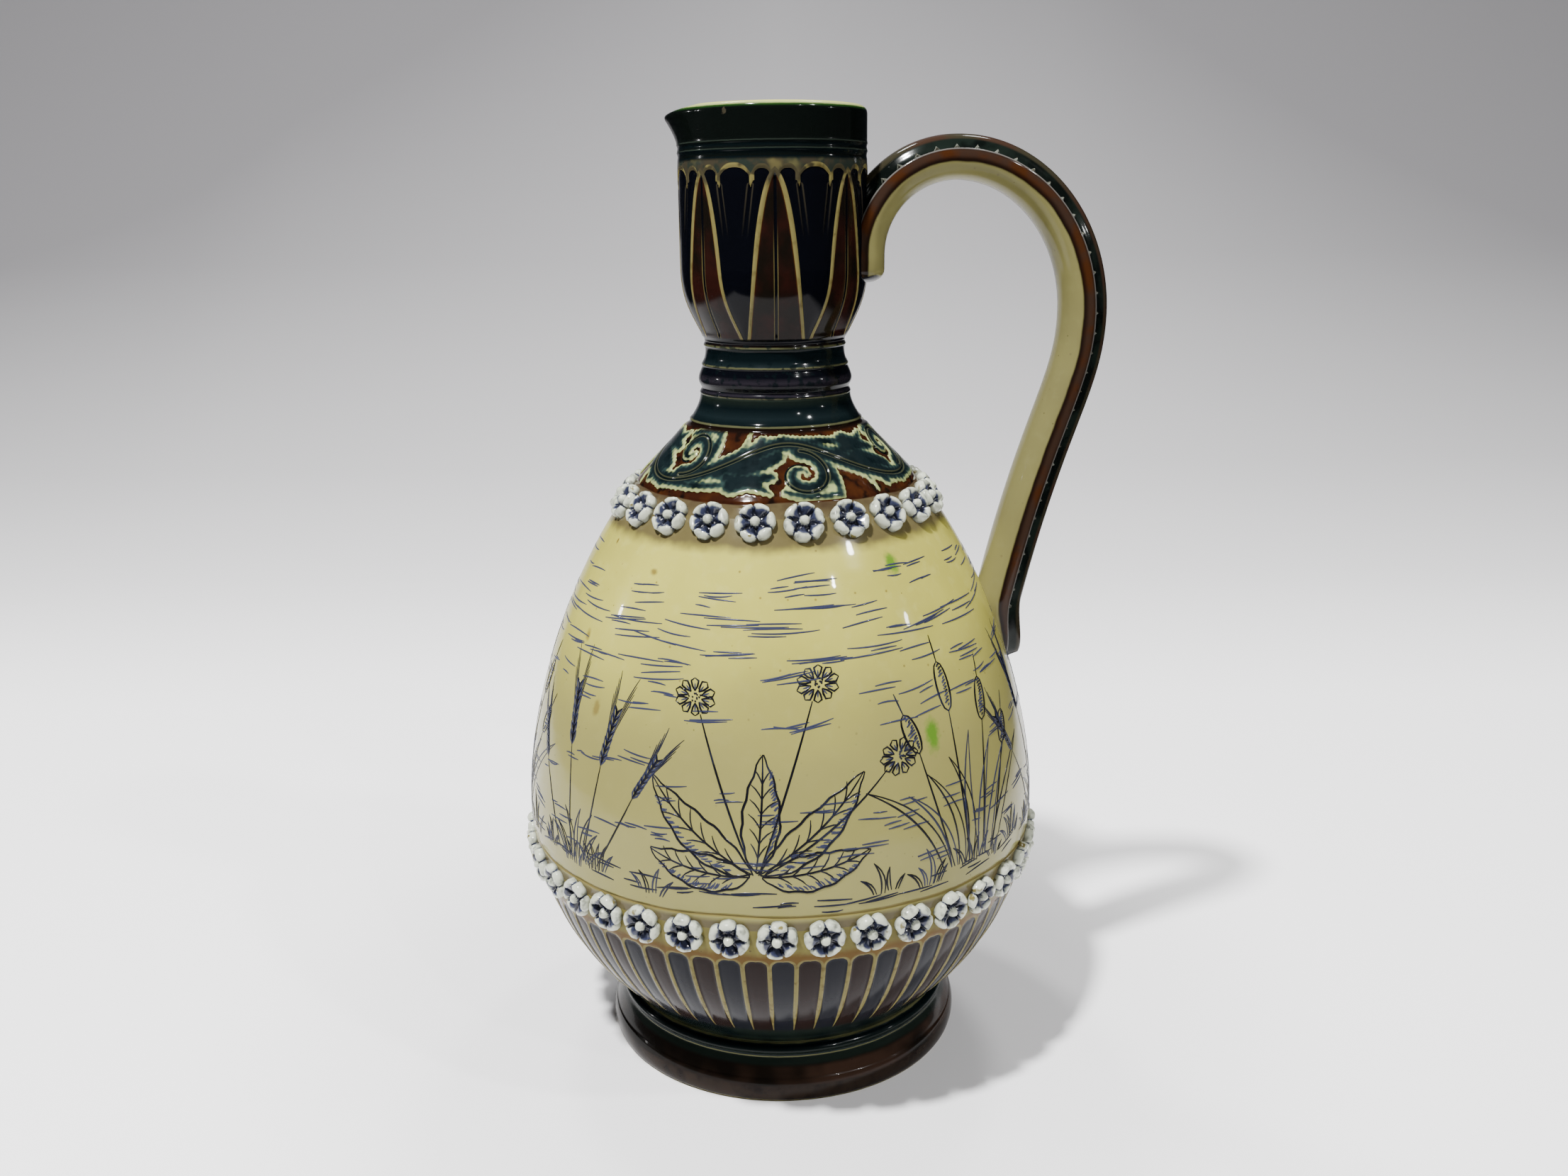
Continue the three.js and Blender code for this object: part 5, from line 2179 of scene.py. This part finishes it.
@dataclass
class Drawing(Pen):
    """The incised plants round the belly: large leaves, flowers, reed mace, ferns, barley and grass."""

    sides: int = 6
    leaf_plants: tuple[float, ...] = (-5.0, -124.0, 114.0)
    leaf_sizes: tuple[float, ...] = (1.0, 0.92, 0.95)
    reed_stands: tuple[float, ...] = (42.0, -86.0, 160.0)
    sheaves: tuple[float, ...] = (-48.0, 78.0, -172.0)
    fern_crowns: tuple[float, ...] = (137.0, -148.0)

    def sky(self) -> None:
        """Light broken strokes high on the belly."""
        for turn in np.arange(-180, 180, 12.0):
            for height, size in ((133.0, 9.0), (125.0, 14.0), (116.0, 12.0), (107.0, 9.0)):
                at, up = turn + self.chance.uniform(-5, 5), height + self.chance.normal(0, 2.0)
                self.dashes(at, up, int(self.chance.integers(2, 5)), size, 0.21, 0.1)

    def ground(self) -> None:
        """Level strokes and tufts of grass at the plants' feet."""
        for turn in np.arange(-180, 180, 10.0):
            self.dashes(turn, self.chance.uniform(64.5, 68), 3, 9.0, 0.24, 0.5)
            self.dashes(turn + 5.0, self.chance.uniform(70, 80), 4, 8.0, 0.22, 0.3)
            self.dashes(turn - 2.0, self.chance.uniform(80, 96), 3, 7.0, 0.2, 0.3)
            self.anchor = (turn + self.chance.uniform(-3, 3), self.chance.uniform(64, 67))
            if min(abs(turn - plant) for plant in self.leaf_plants) > 19.0:
                self.tuft(int(self.chance.integers(4, 7)), self.chance.uniform(6, 12), 0.6)

    def leaf_plant(self, turn: float, size: float) -> None:
        """Draws a large plant with arching broad leaves and flower stalks.

        Args:
            turn: Where it grows.
            size: How large it is, with 1 for the largest.
        """
        self.anchor = (turn, 71.0)
        leaves = ((-1.22, 24, -3), (-0.68, 31, -4), (0.0, 27, 1), (0.64, 32, 4), (1.2, 25, 3))
        for lean, length, bow in leaves:
            self.broad_leaf(lean, length * size, 4.3 * size, bow * size)
        for lean, length in ((-0.34, 43), (0.3, 46), (0.92, 42)):
            tip = length * size * leaning(lean)
            self.arc((lean * 2, 1.0), tip - 4.0 * leaning(lean), -1.5 * lean, 0.27, 0.8)
            self.flower(tip, 5.0 * size, 10)

    def reeds(self, turn: float) -> None:
        """A stand of reed mace with long leaves."""
        self.anchor = (turn, 67.0)
        for foot, lean, length in ((-5, -0.24, 44), (0, -0.03, 54), (5, 0.17, 47), (9, 0.36, 37)):
            self.reed_mace((foot, 0.0), lean, length)
        for lean in np.linspace(-0.7, 0.7, 8):
            self.blade((lean * 12, 0.0), lean, self.chance.uniform(20, 36), 0.27)

    def barley_sheaf(self, turn: float) -> None:
        """A loose group of barley ears."""
        self.anchor = (turn, 67.0)
        for foot, lean, length in ((-7, -0.34, 34), (-2, -0.08, 43), (3, 0.12, 40), (8, 0.36, 33)):
            self.barley((foot, 0.0), lean, length)
        self.tuft(7, 16.0, 0.8)

    def ferns(self, turn: float) -> None:
        """A crown of fern fronds."""
        self.anchor = (turn, 68.0)
        for lean, length, bow in ((-1.0, 26, -4), (-0.4, 34, -3), (0.25, 36, 2), (0.9, 28, 5)):
            self.fern(lean, length, bow)

    def build(self) -> Piece:
        """Draws everything and makes the strokes by a geometry tree."""
        self.sky()
        self.ground()
        for turn, size in zip(self.leaf_plants, self.leaf_sizes):
            self.leaf_plant(turn, size)
        for turn in self.reed_stands:
            self.reeds(turn)
        for turn in self.sheaves:
            self.barley_sheaf(turn)
        for turn in self.fern_crowns:
            self.ferns(turn)
        log.info("incised drawing: %d strokes", len(self.strokes))
        ink = InkGlaze("ink_glaze").material()
        tree = GeometryTree("incised_lines", {"Sides": self.sides, "Unit Radius": 1.0, "Material": ink})
        radius = tree.attribute("radius", "FLOAT")
        curve = tree.link("GeometryNodeMeshToCurve", {"Mesh": tree.given["Geometry"]})
        curve = tree.link("GeometryNodeSetCurveRadius", {"Curve": curve, "Radius": radius})
        ring = {"Resolution": tree.given["Sides"], "Radius": tree.given["Unit Radius"]}
        profile = tree.link("GeometryNodeCurvePrimitiveCircle", ring, mode="RADIUS")
        tube = {"Curve": curve, "Profile Curve": profile, "Fill Caps": True, "Scale": radius}
        tubes = tree.link("GeometryNodeCurveToMesh", tube)
        lines = tree.link("GeometryNodeSetShadeSmooth", {"Geometry": tubes})
        return dress(tree.run(lines, "body_incised_lines", self.mesh()))


@dataclass
class Nicks:
    """The pale nicks that divide the handle's two channels."""

    across: float = 0.7
    out: float = 0.14
    pitch: float = 4.8
    first: float = 26.0
    last: float = 14.0
    length: float = 0.9
    breadth: float = 1.5
    stand: float = 1.0
    depth: float = 0.0011
    foot_radius: float = 0.001
    top_radius: float = 0.0001

    def places(self, handle: Handle) -> Mesh:
        """The nicks' places.

        Args:
            handle: The handle that they are cut in.

        Returns:
            One corner for each nick, with the way along the handle and the way that it faces.
        """
        middle, outward, thickness, width = handle.path()
        plane = middle + outward * (self.out * thickness)[:, None]
        along, run = unit(np.gradient(plane, axis=0)), run_of(plane)
        places, ahead, facing = [], [], []
        for at in np.arange(self.first, run[-1] - self.last, self.pitch):
            row = [np.interp(at, run, part) for part in (*plane.T, *along.T, *outward.T, width)]
            for sign in (-1, 1):
                places.append([row[0], sign * self.across * row[6], row[1]])
                ahead.append([row[2], 0.0, row[3]])
                facing.append([0.6 * row[4], sign * 0.8, 0.6 * row[5]])
        mesh = bpy.data.meshes.new("nick_places")
        mesh.from_pydata(to_frame(np.array(places)), [], [])
        keep_field(mesh, "ahead", ahead)
        keep_field(mesh, "facing", facing)
        return mesh

    def build(self, handle: Handle) -> Piece:
        """Makes both rows by one geometry tree that sets a small wedge at even steps.

        Args:
            handle: The handle that they are cut in.

        Returns:
            Both rows as one piece.
        """
        glaze = NickGlaze("nick_glaze").material()
        inputs = {"Length": self.length * MM, "Breadth": self.breadth * MM, "Material": glaze}
        tree = GeometryTree("handle_nicks", inputs)
        radii = {"Radius Top": self.top_radius, "Radius Bottom": self.foot_radius}
        wedge = tree.link("GeometryNodeMeshCone", {"Vertices": 4, "Depth": self.depth, **radii}, "Mesh")
        shape = {0: tree.given["Length"], 1: tree.given["Breadth"], 2: self.stand * MM}
        shape = {0: tree.link("ShaderNodeCombineXYZ", shape), "Scale": 1 / MM}
        scale = tree.link("ShaderNodeVectorMath", shape, operation="SCALE")
        aim = tree.aim("ahead", "X", "Z", Rotation=tree.aim("facing", "Z"))
        piece = tree.run(tree.copies(wedge, aim, scale), "handle_nicks", self.places(handle))
        return dress(piece)


@dataclass(frozen=True)
class Lamp:
    """A round lamp that looks at the jug's middle, with angles in degrees, metres and watts."""

    name: str
    turn: float
    rise: float
    distance: float
    width: float
    watts: float

    def hang(self) -> None:
        """Hangs the lamp."""
        data = bpy.data.lights.new(self.name, "AREA")
        data.shape = "DISK"
        data.size = self.width
        data.energy = self.watts
        lamp = add_to_scene(self.name, data)
        rise = math.radians(self.rise)
        away = Vector((*(level_out(self.turn) * math.cos(rise)), math.sin(rise)))
        lamp.location = AXIS + Vector((0.0, 0.0, FORM.rim_height / 2 * MM)) + away * self.distance
        lamp.rotation_euler = away.to_track_quat("Z", "Y").to_euler()


@dataclass
class Sweep:
    """Floor and backdrop as one bent sheet of paper, in metres. Painted shade darkens it upwards and to the
    sides.
    """

    front: float = -2.5
    back: float = 0.45
    bend: float = 0.5
    top: float = 2.4
    half_width: float = 3.0
    shades: tuple[Pair, ...] = ((0.25, 0.0), (0.45, 0.3), (0.65, 0.6), (0.9, 0.82), (1.3, 1.0))
    side_shade: float = 0.3
    dark_front: Pair = (-0.34, -0.38)
    dark_left: Pair = (0.42, 0.5)
    dark_right: Pair = (0.24, 0.32)
    glow_far: float = 0.17
    glow_near: float = 0.28
    shadow_reach: float = 170.0

    def sheet(self) -> Mesh:
        """The sheet's mesh, with its shade and with how dark it looks in reflections."""
        arc = np.radians(np.linspace(0, 90, 24))
        bend = np.stack([self.back + self.bend * np.sin(arc), self.bend * (1 - np.cos(arc))], axis=1)
        floor = [(depth, 0.0) for depth in (self.front, *self.dark_front[::-1], 0.0, 0.25, 0.35)]
        wall = self.back + self.bend
        line = np.vstack([floor, bend, [(wall, 0.7), (wall, self.top)]])
        left, right = (-self.dark_left[1], -self.dark_left[0]), self.dark_right
        across = np.array([-self.half_width, -0.9, *left, 0.0, *right, 0.9, self.half_width])
        corners = [(x, y, z) for y, z in line for x in across]
        mesh = bpy.data.meshes.new("sweep")
        mesh.from_pydata(corners, [], grid_faces(len(line), len(across), ring=False).tolist())
        run = run_of(line) + self.front
        far = np.interp(run, *zip(*self.shades))[:, None]
        keep_field(mesh, "shade", (far * (1.0 + self.side_shade * smooth(np.abs(across), 0.0, 0.9))).ravel())
        beside = np.maximum(smooth(-across, *self.dark_left), smooth(across, *self.dark_right))
        keep_field(mesh, "dark", np.maximum(smooth(run, *self.dark_front)[:, None], beside).ravel())
        mesh.shade_smooth()
        return mesh

    def paper(self) -> bpy.types.Material:
        """The paper: dark in reflections beside the jug, and to the eye a painted glow away from it."""
        made, graph, shader = new_material("paper")
        seen = graph.link("ShaderNodeLightPath", {}, "Is Camera Ray")
        # Painted shade: the paper's colour darkens by its kept shade, upwards and to the sides.
        color = graph.mix(graph.field("shade"), Tint.PAPER, Tint.PAINTED_SHADE_PAPER_FAR)
        hidden = graph.times(graph.field("dark"), graph.math("SUBTRACT", 1.0, seen))
        near = graph.math("SUBTRACT", 1.0, graph.field("shade"))
        reach = (self.shadow_reach, self.shadow_reach)
        beside = graph.math("SUBTRACT", 1.0, graph.blot((0.0, 0.0, 0.0), reach, (1.0, 0.5), (90.0, 0.0)))
        # Painted light: to the camera the paper glows a little, less so near the jug.
        glow = graph.times(graph.math("MULTIPLY_ADD", near, self.glow_near, self.glow_far), beside)
        inputs = {
            "Base Color": graph.mix(hidden, color, Tint.INK_BLACK),
            "Emission Strength": graph.times(seen, glow),
            "Emission Color": (1.0, 1.0, 1.0, 1.0),
            "Roughness": 0.8,
            "Specular IOR Level": 0.1,
        }
        graph.fill(shader, inputs)
        return made

    def build(self) -> None:
        """Lays the sheet."""
        sweep = add_to_scene("sweep", self.sheet())
        sweep.data.materials.append(self.paper())


@dataclass
class Studio:
    """The camera, fitted to the photo, the sweep, the lamps and the room's light."""

    lens_pixels: float = 1929.2
    sensor: float = 36.0
    camera_back: float = 345.5
    camera_height: float = 213.2
    camera_tilt: float = 75.06
    camera_swing: float = -0.26
    camera_roll: float = -0.69
    room_light: float = 0.1
    backdrop_light: float = 0.45
    lamps: tuple[Lamp, ...] = (
        Lamp("lamp_front_left", -40.0, 64.0, 1.4, 0.1, 50.0),
        Lamp("lamp_front_right", 58.0, 44.0, 1.4, 0.08, 7.0),
        Lamp("lamp_left", -98.0, 16.0, 1.6, 0.06, 2.0),
        Lamp("lamp_right", 76.0, 22.0, 1.6, 0.06, 1.6),
        Lamp("lamp_small", 38.0, 40.0, 1.6, 0.05, 4.0),
        Lamp("fill_back_left", -150.0, 60.0, 1.8, 0.3, 12.0),
        Lamp("fill_back_right", 150.0, 60.0, 1.8, 0.3, 9.0),
    )

    def camera(self) -> None:
        """Sets the camera at the photo's viewing angle."""
        data = bpy.data.cameras.new("camera")
        data.sensor_width = self.sensor
        data.lens = self.lens_pixels / PHOTO_WIDTH * self.sensor
        data.clip_start, data.clip_end = 0.01, 20.0
        camera = add_to_scene("camera", data)
        place = AXIS + Vector((0.0, -self.camera_back, self.camera_height)) * MM
        turn = Matrix.Translation(place)
        for degrees, axis in ((self.camera_swing, "Z"), (self.camera_tilt, "X"), (self.camera_roll, "Z")):
            turn @= Matrix.Rotation(math.radians(degrees), 4, axis)
        camera.matrix_world = turn
        bpy.context.scene.camera = camera

    def room(self) -> None:
        """Sets the room's soft light, which is dim in reflections."""
        world = bpy.data.worlds.new("room")
        bpy.context.scene.world = world
        world.use_nodes = True
        graph = Graph(world.node_tree)
        seen = graph.link("ShaderNodeLightPath", {}, "Is Camera Ray")
        light = graph.math("MULTIPLY_ADD", seen, self.backdrop_light, self.room_light)
        graph.fill(world.node_tree.nodes["Background"], {"Color": (0.95, 0.96, 1.0, 1.0), "Strength": light})

    def build(self) -> None:
        """Sets up the camera, the sweep and the light."""
        self.camera()
        Sweep().build()
        for lamp in self.lamps:
            lamp.hang()
        self.room()


def build_rosettes() -> None:
    """Makes both rows of rosettes from one pattern."""
    pattern = add_to_scene("rosette_pattern", Rosette().mesh())
    glaze = RosetteGlaze("rosette_glaze", shine=0.25, coat=0.5, pits=-0.05).material()
    names = sorted(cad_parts)
    lower = tuple(name for name in names if name.startswith("rosette_lower"))
    upper = tuple(name for name in names if name.startswith("rosettes_upper"))
    RosetteRow("rosettes_lower_row", 38, 56.0, -1.1, 3, lower).build(pattern, glaze)
    RosetteRow("rosettes_upper_row", 22, 146.6, -7.3, 5, upper).build(pattern, glaze)
    bpy.data.objects.remove(pattern)


def main() -> None:
    """Builds the jug piece by piece and sets it in the studio."""
    logging.basicConfig(level=logging.INFO, format="%(name)s: %(message)s")
    Studio().build()
    Foot().build()
    Tongues().build()
    Belly().build()
    Shoulder().build()
    Neck().build()
    Collar().build()
    handle = Handle()
    handle.build()
    Nicks().build(handle)
    build_rosettes()
    Drawing().build()


if __name__ == "__main__":
    main()
